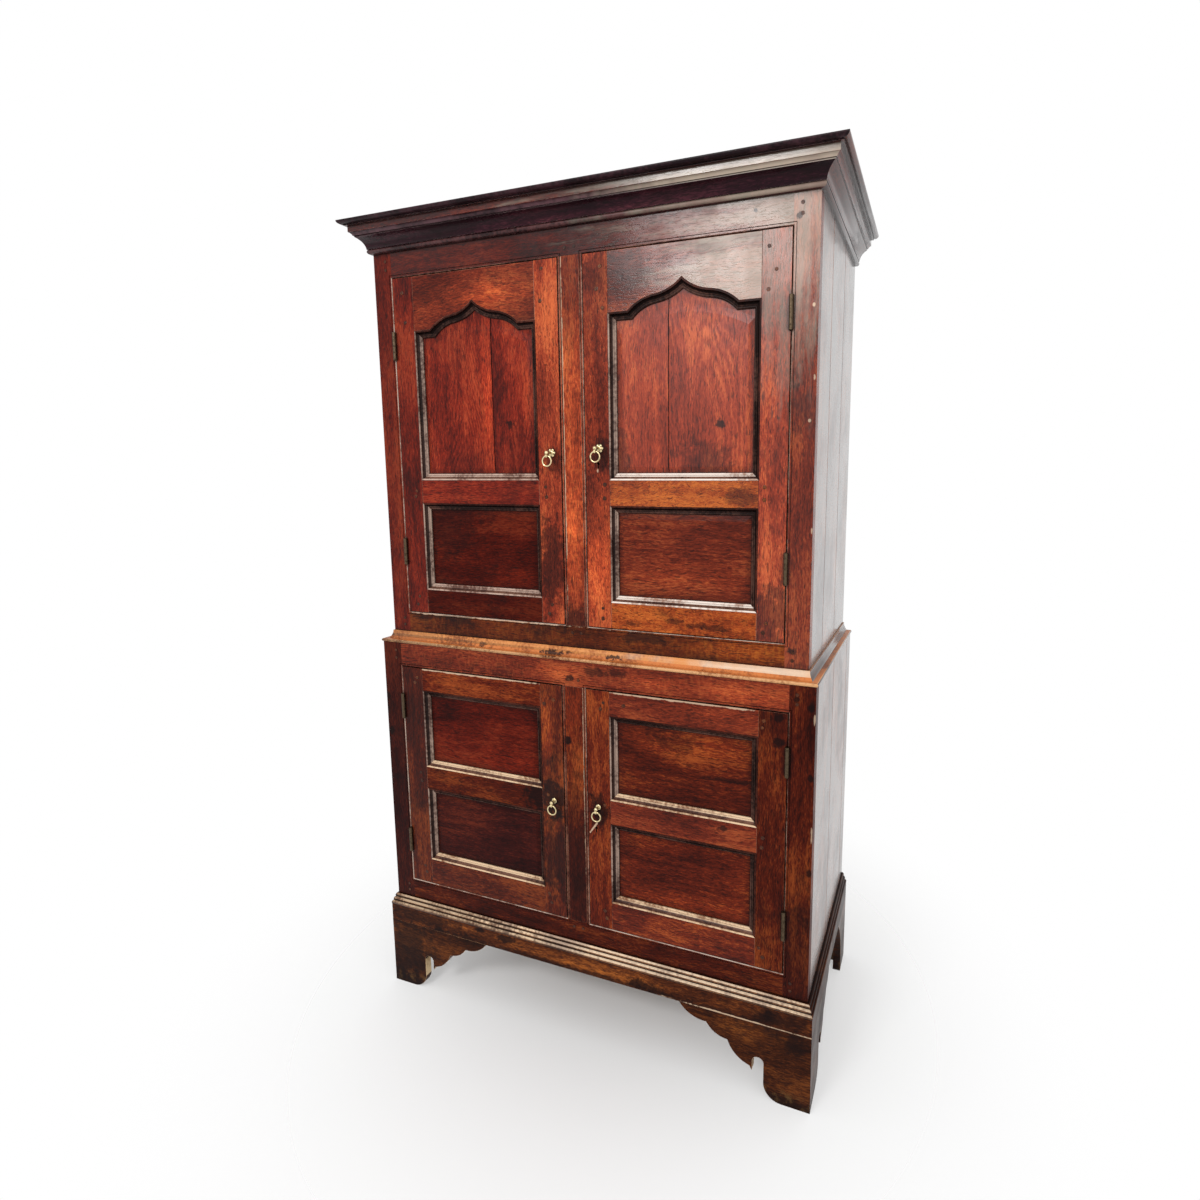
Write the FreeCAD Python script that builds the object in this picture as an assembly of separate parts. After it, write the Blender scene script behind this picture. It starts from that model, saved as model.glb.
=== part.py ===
import FreeCAD, Part
import math
import os
from dataclasses import dataclass

V = FreeCAD.Vector

# A two stage oak press cupboard, in millimetres.
# X runs to the right, Y to the back and Z up, with the floor at Z 0 and the box centred on X and Y.

# Heights of the front, from the floor up
foot_height = 177.0
plinth_height = 71.0
lower_bottom_reveal = 51.0
lower_door_space = 576.0
lower_top_reveal = 59.0
waist_height = 27.0
upper_bottom_reveal = 50.0
upper_door_space = 795.0
frieze_reveal = 57.0
cornice_height = 67.0

# Widths of the front
upper_width = 1050.0
waist_step = 20.0
upper_stile_width = 50.0
upper_muntin_width = 58.0
lower_stile_width = 54.0
lower_muntin_width = 60.0

# Depth, and the thickness of the boards
upper_depth = 500.0
frame_thickness = 26.0
side_thickness = 20.0
back_thickness = 12.0
board_thickness = 18.0
top_thickness = 15.0
top_well = 10.0
floor_rise = 8.0
shelf_setback = 44.0
bearer_width = 18.0
bearer_height = 22.0
upper_shelf_count = 2
lower_shelf_count = 1
shelf_board_count = 2
floor_board_count = 3
back_board_count = 6
board_gap = 0.8
upper_side_joints = (157.0, 330.0)
lower_side_joints = (230.0, 452.0)
side_joint_vee = 1.2

# Joinery
tenon_thickness = 8.0
tenon_length = 34.0
tenon_shoulder = 12.0
muntin_tenon_length = 30.0
muntin_tenon_shoulder = 11.0
tenon_room = 0.6
side_tongue = 8.0
back_rebate = 10.0
peg_radius = 3.4
peg_proud = 0.6
peg_depth = 22.0
peg_inset = 16.0

# Scratch bead round the door openings
bead_width = 5.0
bead_round = 1.5
quirk_width = 1.4
quirk_depth = 2.0

# Mouldings that run round the case
cornice_reach = 54.0
cornice_fascia_reach = 37.0
cornice_fascia_height = 13.0
cornice_cove_reach = 27.5
cornice_cove_height = 25.0
cornice_cove_bow = 4.0
cornice_bead = 10.0
cornice_fillet = 2.5
cornice_lip = 6.0
waist_nose = 3.0
waist_nose_height = 7.6
waist_cove_reach = 10.0
waist_cove_bow = 1.3
waist_fillet = 3.0
plinth_thickness = 13.0
plinth_reed_count = 3
reed_height = 9.2
# Width, bow and last flat of the reeds, as shares of one reed
reed_width_share = 0.75
reed_bow_share = 0.2
reed_flat_share = 0.5

# Bracket feet
bracket_thickness = 20.0
front_bracket_run = 298.0
side_bracket_run = 236.0
foot_flat = 62.0
foot_width = 102.0
foot_round_height = 36.0
foot_notch_width = 26.0
foot_notch_height = 84.0
rear_foot_run = 140.0
rear_foot_flat = 72.0
foot_block = 40.0
foot_block_lift = 3.0
# Cusps of the scalloped edge, as shares of the scalloped run and of the foot's height
bracket_cusp_shares = ((0.0, 0.345), (0.03, 0.40), (0.33, 0.665), (0.62, 0.825), (1.0, 1.0))
# Bow of each lobe, as a share of its chord
bracket_lobe_bow_share = 0.13
rear_foot_bow = 24.0

# Doors
door_gap = 2.0
door_thickness = 24.0
lock_stile_width = 57.0
upper_hinge_stile_width = 57.0
lower_hinge_stile_width = 60.0
upper_door_top_rail = 122.0
upper_door_mid_rail = 55.0
upper_door_bottom_rail = 57.0
upper_door_low_panel = 212.0
lower_door_top_rail = 56.0
lower_door_mid_rail = 57.0
lower_door_bottom_rail = 66.0
lower_door_low_panel = 194.0
arch_half_width = 119.0
arch_rise = 56.0
arch_bow = 5.4

# Panels and the mouldings planted round them
panel_depth = 12.0
panel_thickness = 7.0
panel_field = 2.0
field_margin = 13.0
field_arc_drop = 31.0
field_arc_rise = 34.0
panel_tongue = 8.0
groove_room = 0.3
left_panel_joint = 122.0
right_panel_joint = 132.0
panel_joint_gap = 1.6
moulding_width = 15.0
moulding_fillet = 3.4
moulding_bead = 3.8
moulding_quirk = 0.9
moulding_hollow = 1.4
moulding_proud = 0.5

# Butt hinges
hinge_length = 64.0
hinge_leaf_thickness = 1.6
hinge_leaf_width = 18.0
knuckle_radius = 4.2
knuckle_stand = 3.0
knuckle_gap = 0.3
knuckle_room = 0.4
pin_radius = 2.1
pin_room = 0.05
upper_hinge_from_top = 155.0
upper_hinge_from_bottom = 152.0
lower_hinge_from_top = 103.0
lower_hinge_from_bottom = 113.0

# Ring handles, with the latches that they turn
upper_left_handle_inset = 23.0
upper_right_handle_inset = 33.5
lower_handle_inset = 26.0
upper_left_handle_height = 1397.0
upper_right_handle_height = 1405.0
lower_left_handle_height = 592.0
lower_right_handle_height = 597.0
upper_handle_stand = 21.0
lower_handle_stand = 12.0
rosette_radius = 10.0
rosette_thickness = 5.0
petal_count = 6
petal_radius = 3.6
collar_radius = 6.2
collar_thickness = 2.0
spindle_radius = 4.0
spindle_room = 0.08
base_room = 0.2
neck_radius = 3.0
ball_radius = 4.7
lug_drop = 7.2
lug_radius = 4.0
lug_width = 5.0
ring_radius = 11.0
ring_wire = 1.7
ring_room = 0.3
latch_stand = 3.0
latch_length = 50.0
latch_width = 14.0
latch_thickness = 6.0
latch_rivet_radius = 6.2
latch_rivet_height = 2.4
# Rim, crown and bows of a handle's base, as shares of its own sizes
base_rim_share = 0.4
base_crown_share = 0.5
base_bow_share = 0.2

# Rim locks on the right hand doors
upper_key_inset = 30.0
lower_key_inset = 20.0
upper_key_drop = 32.0
lower_key_drop = 52.0
keyhole_radius = 3.4
keyhole_slot_width = 3.0
keyhole_slot_length = 11.0
lock_width = 50.0
lock_height = 46.0
lock_depth = 14.0
lock_wall = 2.0
lock_below_key = 29.0
bolt_height = 10.0
bolt_thickness = 6.0
bolt_length = 36.0
bolt_above_key = 4.0
bolt_stand = 4.0
bolt_room = 0.3

# Places worked out from the sizes above
upper_half = upper_width / 2
lower_half = upper_half + waist_step
handle_reach = max(upper_handle_stand, waist_step + lower_handle_stand) + ball_radius
front_reach = max(cornice_reach, handle_reach)
upper_front = (front_reach - upper_depth) / 2
back = upper_front + upper_depth
lower_front = upper_front - waist_step
plinth_top = foot_height + plinth_height
lower_open_bottom = plinth_top + lower_bottom_reveal
lower_open_top = lower_open_bottom + lower_door_space
lower_top = lower_open_top + lower_top_reveal
upper_open_bottom = lower_top + waist_height + upper_bottom_reveal
upper_open_top = upper_open_bottom + upper_door_space
cornice_bottom = upper_open_top + frieze_reveal
cornice_top = cornice_bottom + cornice_height
case_top = cornice_top - top_well - top_thickness
inner_back = back - back_thickness
far = 2 * (upper_width + cornice_top)

nodes = {}


@dataclass
class Case:
    """One stage of the cupboard: its outline, its front frame and its two door openings."""

    name: str
    half: float
    front: float
    base: float
    top: float
    open_bottom: float
    open_top: float
    shown_bottom: float
    shown_top: float
    stile: float
    muntin: float
    side_joints: tuple
    floor: float
    shelf_count: int

    @property
    def open_inner(self):
        """X of the opening's edge on the muntin."""
        return self.muntin / 2

    @property
    def open_outer(self):
        """X of the opening's edge on the stile."""
        return self.half - self.stile

    @property
    def frame_back(self):
        """Y of the back of the front frame."""
        return self.front + frame_thickness

    @property
    def inner_side(self):
        """X of the inner face of the side."""
        return self.half - side_thickness


@dataclass
class Handle:
    """One ring handle, placed from the door's lock edge and the floor."""

    inset: float
    height: float
    stand: float
    base_radius: float
    base_thickness: float
    petals: int


@dataclass
class DoorPlan:
    """Sizes of one pair of doors, written for the right hand one."""

    case: Case
    hinge_stile: float
    top_rail: float
    mid_rail: float
    bottom_rail: float
    low_panel: float
    arched: bool
    hinges: tuple
    handles: dict
    key_inset: float
    key_drop: float

    @property
    def front(self):
        """Y of the door's face, flush with the frame."""
        return self.case.front

    @property
    def rear(self):
        """Y of the door's back."""
        return self.case.front + door_thickness

    @property
    def inner(self):
        """X of the lock edge."""
        return self.case.open_inner + door_gap

    @property
    def outer(self):
        """X of the hinge edge."""
        return self.case.open_outer - door_gap

    @property
    def panel_inner(self):
        """X where the lock stile ends and the panels start."""
        return self.inner + lock_stile_width

    @property
    def panel_outer(self):
        """X where the panels end and the hinge stile starts."""
        return self.outer - self.hinge_stile

    @property
    def bottom(self):
        """Z of the door's bottom edge."""
        return self.case.open_bottom + door_gap

    @property
    def top(self):
        """Z of the door's top edge."""
        return self.case.open_top - door_gap

    @property
    def key_x(self):
        """X of the keyhole."""
        return self.inner + self.key_inset

    @property
    def key_height(self):
        """Z of the keyhole, under the right hand door's handle."""
        return self.handles["right"].height - self.key_drop

    def handle_x(self, side):
        """X of the spindle of one door's handle, as on the right hand door."""
        return self.inner + self.handles[side].inset

    def panels(self):
        """Bottom and top of the low panel and of the high one, up to its shoulders."""
        low_bottom = self.bottom + self.bottom_rail
        low_top = low_bottom + self.low_panel
        high_bottom = low_top + self.mid_rail
        return ((low_bottom, low_top, False), (high_bottom, self.top - self.top_rail, self.arched))


def block(x0, x1, y0, y1, z0, z1):
    """Box between two corners."""
    return Part.makeBox(x1 - x0, y1 - y0, z1 - z0, V(x0, y0, z0))


def rod_y(radius, x, y0, y1, z):
    """Round bar along Y."""
    return Part.makeCylinder(radius, y1 - y0, V(x, y0, z), V(0, 1, 0))


def rod_z(radius, x, y, z0, z1):
    """Round bar along Z."""
    return Part.makeCylinder(radius, z1 - z0, V(x, y, z0))


def beyond(point, normal):
    """Everything past a plane, for trimming a mitre."""
    return Part.makeCylinder(far, far, point, normal)


def cut_all(shape, tools):
    """Cut a list of tools from a shape, one after another."""
    for tool in tools:
        shape = shape.cut(tool)
    return shape


def mirrored(shape):
    """The same shape on the other side of the cupboard."""
    return shape.mirror(V(0, 0, 0), V(1, 0, 0))


def keep(name, *shapes):
    """Put the solids of some shapes into a node."""
    for shape in shapes:
        nodes.setdefault(name, []).extend(shape.Solids)


def outline_face(place, start, steps):
    """Closed face from a start point and its steps.

    A step of one point is a line, and a step of two points an arc through the first to the second.
    """
    edges = []
    here = start
    for step in list(steps) + [start]:
        if isinstance(step[0], tuple):
            via, end = step
            edges.append(Part.Arc(place(*here), place(*via), place(*end)).toShape())
        else:
            end = step
            edges.append(Part.LineSegment(place(*here), place(*end)).toShape())
        here = end
    return Part.Face(Part.Wire(edges))


def bow(start, end, out):
    """Arc step between two points, bowed to the right of its chord by a distance."""
    run, rise = end[0] - start[0], end[1] - start[1]
    share = out / math.hypot(run, rise)
    via = ((start[0] + end[0]) / 2 + rise * share, (start[1] + end[1]) / 2 - run * share)
    return via, end


def boards(start, end, count):
    """Split a stretch into equal boards with a shrinkage gap between them."""
    pitch = (end - start + board_gap) / count
    return [(start + i * pitch, start + (i + 1) * pitch - board_gap) for i in range(count)]


upper_case = Case("upper", upper_half, upper_front, lower_top, case_top, upper_open_bottom, upper_open_top,
                  lower_top + waist_height, cornice_bottom, upper_stile_width, upper_muntin_width,
                  upper_side_joints, upper_open_bottom + floor_rise, upper_shelf_count)
lower_case = Case("lower", lower_half, lower_front, foot_height, lower_top, lower_open_bottom, lower_open_top,
                  plinth_top, lower_top, lower_stile_width, lower_muntin_width,
                  lower_side_joints, lower_open_bottom + floor_rise, lower_shelf_count)


def rosette_handle(inset, height):
    """Handle of an upper door, on a rosette of petals round a dome."""
    dome_radius = rosette_radius - petal_radius
    return Handle(inset, height, upper_handle_stand, dome_radius, rosette_thickness, petal_count)


def collar_handle(height):
    """Handle of a lower door, on a plain small collar."""
    return Handle(lower_handle_inset, height, lower_handle_stand, collar_radius, collar_thickness, 0)


upper_doors = DoorPlan(upper_case, upper_hinge_stile_width, upper_door_top_rail, upper_door_mid_rail,
                       upper_door_bottom_rail, upper_door_low_panel, True,
                       (upper_open_bottom + upper_hinge_from_bottom, upper_open_top - upper_hinge_from_top),
                       {"left": rosette_handle(upper_left_handle_inset, upper_left_handle_height),
                        "right": rosette_handle(upper_right_handle_inset, upper_right_handle_height)},
                       upper_key_inset, upper_key_drop)
lower_doors = DoorPlan(lower_case, lower_hinge_stile_width, lower_door_top_rail, lower_door_mid_rail,
                       lower_door_bottom_rail, lower_door_low_panel, False,
                       (lower_open_bottom + lower_hinge_from_bottom, lower_open_top - lower_hinge_from_top),
                       {"left": collar_handle(lower_left_handle_height),
                        "right": collar_handle(lower_right_handle_height)},
                       lower_key_inset, lower_key_drop)


# Front frames


def frame_tenon(case, bottom, top, room=0.0):
    """Tenons at both ends of a rail, or the mortises for them."""
    reach = case.open_outer + tenon_length + room
    middle = case.front + frame_thickness / 2
    half = (tenon_thickness + room) / 2
    return block(-reach, reach, middle - half, middle + half,
                 bottom + tenon_shoulder - room, top - tenon_shoulder + room)


def muntin_tenon(case, room=0.0):
    """Tenons at both ends of the muntin, or the mortises for them."""
    half_width = case.muntin / 2 - muntin_tenon_shoulder + room
    middle = case.front + frame_thickness / 2
    half = (tenon_thickness + room) / 2
    return block(-half_width, half_width, middle - half, middle + half,
                 case.open_bottom - muntin_tenon_length - room, case.open_top + muntin_tenon_length + room)


def peg(case, x, z):
    """One peg through a joint of the front frame."""
    return rod_y(peg_radius, x, case.front - peg_proud, case.front + peg_depth, z)


def frame_pegs(case):
    """Pegs of all joints of one front frame, in pairs where the frame shows."""
    pegs = []
    for bottom, top in ((case.shown_bottom, case.open_bottom), (case.open_top, case.shown_top)):
        third = (top - bottom) / 3
        for z in (bottom + third, top - third):
            for side in (-1, 1):
                pegs.append(peg(case, side * (case.open_outer + peg_inset), z))
    across = case.muntin / 2 - muntin_tenon_shoulder - 2 * peg_radius
    for z in (case.open_bottom - peg_inset, case.open_top + peg_inset):
        for side in (-1, 1):
            pegs.append(peg(case, side * across, z))
    return pegs


def opening_bead(case):
    """Cutters for the scratch bead round both door openings."""
    x0, x1, z0, z1 = case.open_inner, case.open_outer, case.open_bottom, case.open_top
    near = bead_width
    away = bead_width + quirk_width
    ring = block(x0 - away, x1 + away, case.front, case.front + quirk_depth, z0 - away, z1 + away)
    ring = ring.cut(block(x0 - near, x1 + near, case.front, case.front + quirk_depth, z0 - near, z1 + near))
    wide = bead_round
    slope = Part.makeWedge(x0 - wide, case.front, z0 - wide, z0, x0,
                           x1 + wide, case.front + wide, z1 + wide, z1, x1)
    return [ring, slope, mirrored(ring), mirrored(slope)]


def hinge_gain(plan, z, on_door):
    """Room for one leaf and the knuckles in the door's edge or the frame's edge."""
    edge = plan.outer - hinge_leaf_thickness if on_door else plan.case.open_outer
    leaf = block(edge, edge + hinge_leaf_thickness, plan.front - knuckle_stand, plan.front + hinge_leaf_width,
                 z - hinge_length / 2, z + hinge_length / 2)
    knuckles = rod_z(knuckle_radius + knuckle_room, hinge_axis_x(plan), plan.front - knuckle_stand,
                     z - hinge_length / 2 - knuckle_room, z + hinge_length / 2 + knuckle_room)
    return leaf.fuse(knuckles)


def hinge_axis_x(plan):
    """X of the hinge pins of the right hand door."""
    return plan.case.open_outer - door_gap / 2


def build_front_frame(plan):
    """Stiles, rails and muntin of one front frame, with their pegs."""
    case = plan.case
    pegs = frame_pegs(case)
    cuts = opening_bead(case) + pegs
    rails = []
    mortises = []
    for bottom, top in ((case.open_top, case.top), (case.base, case.open_bottom)):
        rail = block(-case.open_outer, case.open_outer, case.front, case.frame_back, bottom, top)
        rail = rail.fuse(frame_tenon(case, bottom, top))
        rail = rail.cut(muntin_tenon(case, tenon_room))
        rails.append(cut_all(rail, cuts))
        mortises.append(frame_tenon(case, bottom, top, tenon_room))
    muntin = block(-case.open_inner, case.open_inner, case.front, case.frame_back,
                   case.open_bottom, case.open_top)
    muntin = cut_all(muntin.fuse(muntin_tenon(case)), cuts)
    stile = block(case.open_outer, case.half, case.front, case.frame_back, case.base, case.top)
    stile = cut_all(stile, mortises + cuts + [tongue_of_side(case)])
    stile = cut_all(stile, [hinge_gain(plan, z, False) for z in plan.hinges])
    keep(case.name + "_front_stiles", mirrored(stile), stile)
    keep("upper_frieze_rail" if case is upper_case else "lower_top_rail", rails[0])
    keep(case.name + "_bottom_rail", rails[1])
    keep(case.name + "_muntin", muntin)
    keep("frame_pegs", *pegs)


# Boards of the two cases


def tongue_of_side(case):
    """Tongue by which the side enters the stile."""
    middle = case.half - side_thickness / 2
    return block(middle - side_tongue / 2, middle + side_tongue / 2,
                 case.frame_back - side_tongue, case.frame_back, case.base, case.top)


def build_sides(case):
    """Upright boards of both sides of one case."""
    edges = [case.frame_back] + [case.front + joint for joint in case.side_joints] + [back]
    uprights = [block(case.inner_side, case.half, y0, y1, case.base, case.top)
                for y0, y1 in zip(edges, edges[1:])]
    uprights[0] = uprights[0].fuse(tongue_of_side(case))
    rebate = block(case.inner_side, case.inner_side + back_rebate, inner_back, back, case.base, case.top)
    for y in edges[1:-1]:
        vee = block(-side_joint_vee, side_joint_vee, -side_joint_vee, side_joint_vee, case.base, case.top)
        vee.rotate(V(0, 0, 0), V(0, 0, 1), 45)
        vee.translate(V(case.half, y, 0))
        uprights = [board.cut(vee) for board in uprights]
    uprights = [board.cut(rebate) for board in uprights]
    keep(case.name + "_right_side", *uprights)
    keep(case.name + "_left_side", *[mirrored(board) for board in uprights])


def build_back(case):
    """Upright back boards, in the rebates of the sides."""
    reach = case.inner_side + back_rebate
    for x0, x1 in boards(-reach, reach, back_board_count):
        keep(case.name + "_back_boards", block(x0, x1, inner_back, back, case.base, case.top))


def build_level(name, case, y0, y1, top, count):
    """One level of boards between the sides, and the bearers that carry it."""
    for near, away in boards(y0, y1, count):
        keep(name, block(-case.inner_side, case.inner_side, near, away, top - board_thickness, top))
    under = top - board_thickness
    bearer = block(case.inner_side - bearer_width, case.inner_side, y0, y1, under - bearer_height, under)
    keep("shelf_bearers", bearer, mirrored(bearer))


def shelf_tops(case, ceiling):
    """Heights of the shelves, which share the space above the floor evenly."""
    space = (ceiling - case.floor - case.shelf_count * board_thickness) / (case.shelf_count + 1)
    return [case.floor + (i + 1) * (space + board_thickness) for i in range(case.shelf_count)]


def build_levels():
    """Floors, shelves and tops of both cases."""
    lower_ceiling = lower_top - board_thickness
    for case, ceiling in ((upper_case, case_top), (lower_case, lower_ceiling)):
        build_level(case.name + "_floor_boards", case, case.frame_back, inner_back,
                    case.floor, floor_board_count)
        for top in shelf_tops(case, ceiling):
            build_level("shelves", case, case.frame_back + shelf_setback, inner_back, top, shelf_board_count)
    build_level("lower_top_boards", lower_case, lower_case.frame_back, inner_back,
                lower_top, floor_board_count)
    for y0, y1 in boards(upper_front, back, floor_board_count):
        keep("upper_top_boards", block(-upper_half, upper_half, y0, y1, case_top, case_top + top_thickness))


# Mouldings round the case


def girdle(half, front, start, steps):
    """Front length and two returns of a moulding, mitred at the front corners.

    The profile is given as reach from the case and height above the floor.
    """
    reach = max(point[0] for step in steps for point in (step if isinstance(step[0], tuple) else (step,)))
    corner = V(half, front, 0)
    length = outline_face(lambda p, z: V(-half - reach, front - p, z), start, steps)
    length = length.extrude(V(2 * (half + reach), 0, 0))
    length = length.cut(beyond(corner, V(1, 1, 0)))
    length = length.cut(beyond(V(-half, front, 0), V(-1, 1, 0)))
    side = outline_face(lambda p, z: V(half + p, front - reach, z), start, steps)
    side = side.extrude(V(0, back - front + reach, 0)).cut(beyond(corner, V(-1, -1, 0)))
    return length, side, mirrored(side)


def build_cornice():
    """Cornice: bead, cove, fascia and a rounded crown."""
    z0 = cornice_bottom
    crown = cornice_top - top_well
    fascia_low = crown - cornice_fascia_height
    bead_in, bead_out = (cornice_bead / 2, z0), (cornice_bead - cornice_fillet, z0 + cornice_bead)
    cove_in = (cornice_bead, z0 + cornice_bead)
    cove_out = (cornice_cove_reach, z0 + cornice_bead + cornice_cove_height)
    step_in = (cornice_cove_reach + cornice_fillet, cove_out[1] + cornice_fillet)
    step_out = (cornice_fascia_reach, fascia_low)
    crown_in = (cornice_fascia_reach + cornice_lip, crown + cornice_fillet)
    crown_out = (cornice_reach, cornice_top - cornice_fillet)
    steps = (
        bead_in,
        bow(bead_in, bead_out, cornice_bead / 2 - cornice_fillet / 2),
        cove_in,
        bow(cove_in, cove_out, -cornice_cove_bow),
        (cove_out[0], step_in[1]),
        step_in,
        bow(step_in, step_out, -cornice_fillet / 2),
        (step_out[0], crown),
        (crown_in[0], crown),
        crown_in,
        bow(crown_in, crown_out, cornice_fillet),
        (cornice_reach, cornice_top),
        (0, cornice_top),
    )
    length, right, left = girdle(upper_half, upper_front, (0, z0), steps)
    keep("cornice_front", length)
    keep("cornice_returns", left, right)


def build_waist():
    """Waist moulding, which stands on the lower case round the foot of the upper one."""
    z0 = lower_top
    nose_low, nose_high = (waist_step, z0), (waist_step, z0 + waist_nose_height)
    cove_low = (waist_cove_reach, nose_high[1])
    cove_high = (waist_fillet, z0 + waist_height - waist_fillet)
    steps = (
        nose_low,
        bow(nose_low, nose_high, waist_nose),
        cove_low,
        bow(cove_low, cove_high, -waist_cove_bow),
        (waist_fillet, z0 + waist_height),
        (0, z0 + waist_height),
    )
    keep("waist_moulding", *girdle(upper_half, upper_front, (0, z0), steps))


def build_plinth():
    """Plinth boards with a reeded top edge."""
    reed_step = plinth_thickness / (plinth_reed_count + reed_flat_share)
    face_top = plinth_top - plinth_reed_count * reed_height
    steps = [(plinth_thickness, foot_height)]
    for i in range(plinth_reed_count):
        low = (plinth_thickness - i * reed_step, face_top + i * reed_height)
        high = (low[0] - reed_width_share * reed_step, low[1] + reed_height)
        steps += [low, bow(low, high, reed_bow_share * reed_height)]
    steps.append((0, plinth_top))
    keep("plinth", *girdle(lower_half, lower_front, (0, foot_height), steps))


def bracket_steps(run):
    """Scalloped edge of a bracket foot, from the corner along the floor and up to the plinth."""
    notch_end = foot_width + foot_notch_width
    cusps = [(notch_end + along * (run - notch_end), up * foot_height) for along, up in bracket_cusp_shares]
    heel, shank = (foot_flat, 0), (foot_width, foot_round_height)
    chord = math.hypot(foot_width - foot_flat, foot_round_height)
    rise = math.atan2(foot_round_height, foot_width - foot_flat)
    notch_in, notch_out = (foot_width, foot_notch_height), (notch_end, foot_notch_height)
    steps = [heel, bow(heel, shank, chord / 2 * math.tan(rise / 2)), notch_in,
             bow(notch_in, notch_out, -foot_notch_width / 2)]
    steps += cusps[:2]
    for low, high in zip(cusps[1:], cusps[2:]):
        steps.append(bow(low, high, bracket_lobe_bow_share * math.dist(low, high)))
    steps.append((0, foot_height))
    return steps


def build_feet():
    """Bracket feet, mitred at the front corners, with the glue blocks behind them."""
    x = lower_half + plinth_thickness
    y = lower_front - plinth_thickness
    corner = V(x, y, 0)
    front = outline_face(lambda s, z: V(x - s, y, z), (0, 0), bracket_steps(front_bracket_run))
    front = front.extrude(V(0, bracket_thickness, 0)).cut(beyond(corner, V(1, 1, 0)))
    side = outline_face(lambda s, z: V(x, y + s, z), (0, 0), bracket_steps(side_bracket_run))
    side = side.extrude(V(-bracket_thickness, 0, 0)).cut(beyond(corner, V(-1, -1, 0)))
    heel, head = (rear_foot_flat, 0), (rear_foot_run, foot_height)
    rear_steps = (heel, bow(heel, head, -rear_foot_bow), (0, foot_height))
    rear = outline_face(lambda s, z: V(x, back - s, z), (0, 0), rear_steps)
    rear = rear.extrude(V(-bracket_thickness, 0, 0))
    for piece in (front, side, rear):
        keep("bracket_feet", piece, mirrored(piece))
    inner = x - bracket_thickness
    for y0 in (y + bracket_thickness, back - foot_block):
        post = block(inner - foot_block, inner, y0, y0 + foot_block, foot_block_lift, foot_height)
        keep("foot_blocks", post, mirrored(post))


# Doors


def turn(direction, degrees):
    """Turn a direction in the plane of the front, anticlockwise as seen from the front."""
    angle = math.radians(degrees)
    x, z = direction
    return (x * math.cos(angle) - z * math.sin(angle), x * math.sin(angle) + z * math.cos(angle))


def inward(direction):
    """Left hand side of a run, which is the panel's side on a loop that runs anticlockwise."""
    return (-direction[1], direction[0])


def step_from(point, direction, distance):
    """Point at a distance along a direction."""
    return (point[0] + direction[0] * distance, point[1] + direction[1] * distance)


class Ogee:
    """Right half of the arch: two equal arcs from the spring up to the apex."""

    def __init__(self, middle_x, shoulder):
        self.spring = (middle_x + arch_half_width, shoulder)
        self.apex = (middle_x, shoulder + arch_rise)
        self.middle = (middle_x + arch_half_width / 2, shoulder + arch_rise / 2)
        chord = math.hypot(arch_half_width, arch_rise)
        self.run = (-arch_half_width / chord, arch_rise / chord)
        self.radius = (chord / 2) ** 2 / (8 * arch_bow) + arch_bow / 2
        self.half_turn = math.degrees(math.asin(chord / 4 / self.radius))
        self.start = turn(self.run, -self.half_turn)
        self.bend = turn(self.run, self.half_turn)

    def vias(self):
        """Middle points of the two arcs."""
        out = turn(self.run, -90)
        low = step_from(self.spring, (self.middle[0] - self.spring[0], self.middle[1] - self.spring[1]), 0.5)
        high = step_from(self.middle, (self.apex[0] - self.middle[0], self.apex[1] - self.middle[1]), 0.5)
        return step_from(low, out, arch_bow), step_from(high, out, -arch_bow)


def panel_face_outline(plan, panel, grow, y):
    """Face of one panel's opening, grown into the grooves by a distance."""
    bottom, top, arched = panel
    x0 = plan.panel_inner - grow
    x1 = plan.panel_outer + grow
    steps = [(x1, bottom - grow), (x1, top + grow)]
    if arched:
        middle = (x0 + x1) / 2
        ogee = Ogee(middle, top + grow)
        low, high = ogee.vias()

        def across(point):
            return (2 * middle - point[0], point[1])

        steps += [ogee.spring, (low, ogee.middle), (high, ogee.apex),
                  (across(high), across(ogee.middle)), (across(low), across(ogee.spring))]
    steps.append((x0, top + grow))
    return outline_face(lambda x, z: V(x, y, z), (x0, bottom - grow), steps)


def panel_prism(plan, panel, grow, y0, y1):
    """One panel's opening as a solid."""
    return panel_face_outline(plan, panel, grow, y0).extrude(V(0, y1 - y0, 0))


def field_wire(plan, panel, inset, y):
    """Edge of the raised field, under an arch with a plain curved top."""
    bottom, top, arched = panel
    x0 = plan.panel_inner + inset
    x1 = plan.panel_outer - inset
    z0 = bottom + inset
    shoulder = top - inset - (field_arc_drop - moulding_width if arched else 0)
    top_step = (x0, shoulder)
    if arched:
        top_step = (((x0 + x1) / 2, shoulder + field_arc_rise), (x0, shoulder))
    return outline_face(lambda x, z: V(x, y, z), (x0, z0), ((x1, z0), (x1, shoulder), top_step)).OuterWire


def build_panels(plan, side, finish):
    """Fielded panels of one door, the high one of two boards where it is arched."""
    base = plan.front + panel_depth
    for panel in plan.panels():
        slab = panel_prism(plan, panel, panel_tongue, base, base + panel_thickness)
        foot = field_wire(plan, panel, moulding_width, base)
        crest = field_wire(plan, panel, moulding_width + field_margin, base - panel_field)
        slab = slab.fuse(Part.makeLoft([foot, crest], True, True))
        if panel[2]:
            joint = plan.panel_inner + (left_panel_joint if side == "left" else right_panel_joint)
            slab = slab.cut(block(joint, joint + panel_joint_gap, base - far, base + far, -far, far))
        keep(f"{plan.case.name}_{side}_door_panels", finish(slab))


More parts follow.
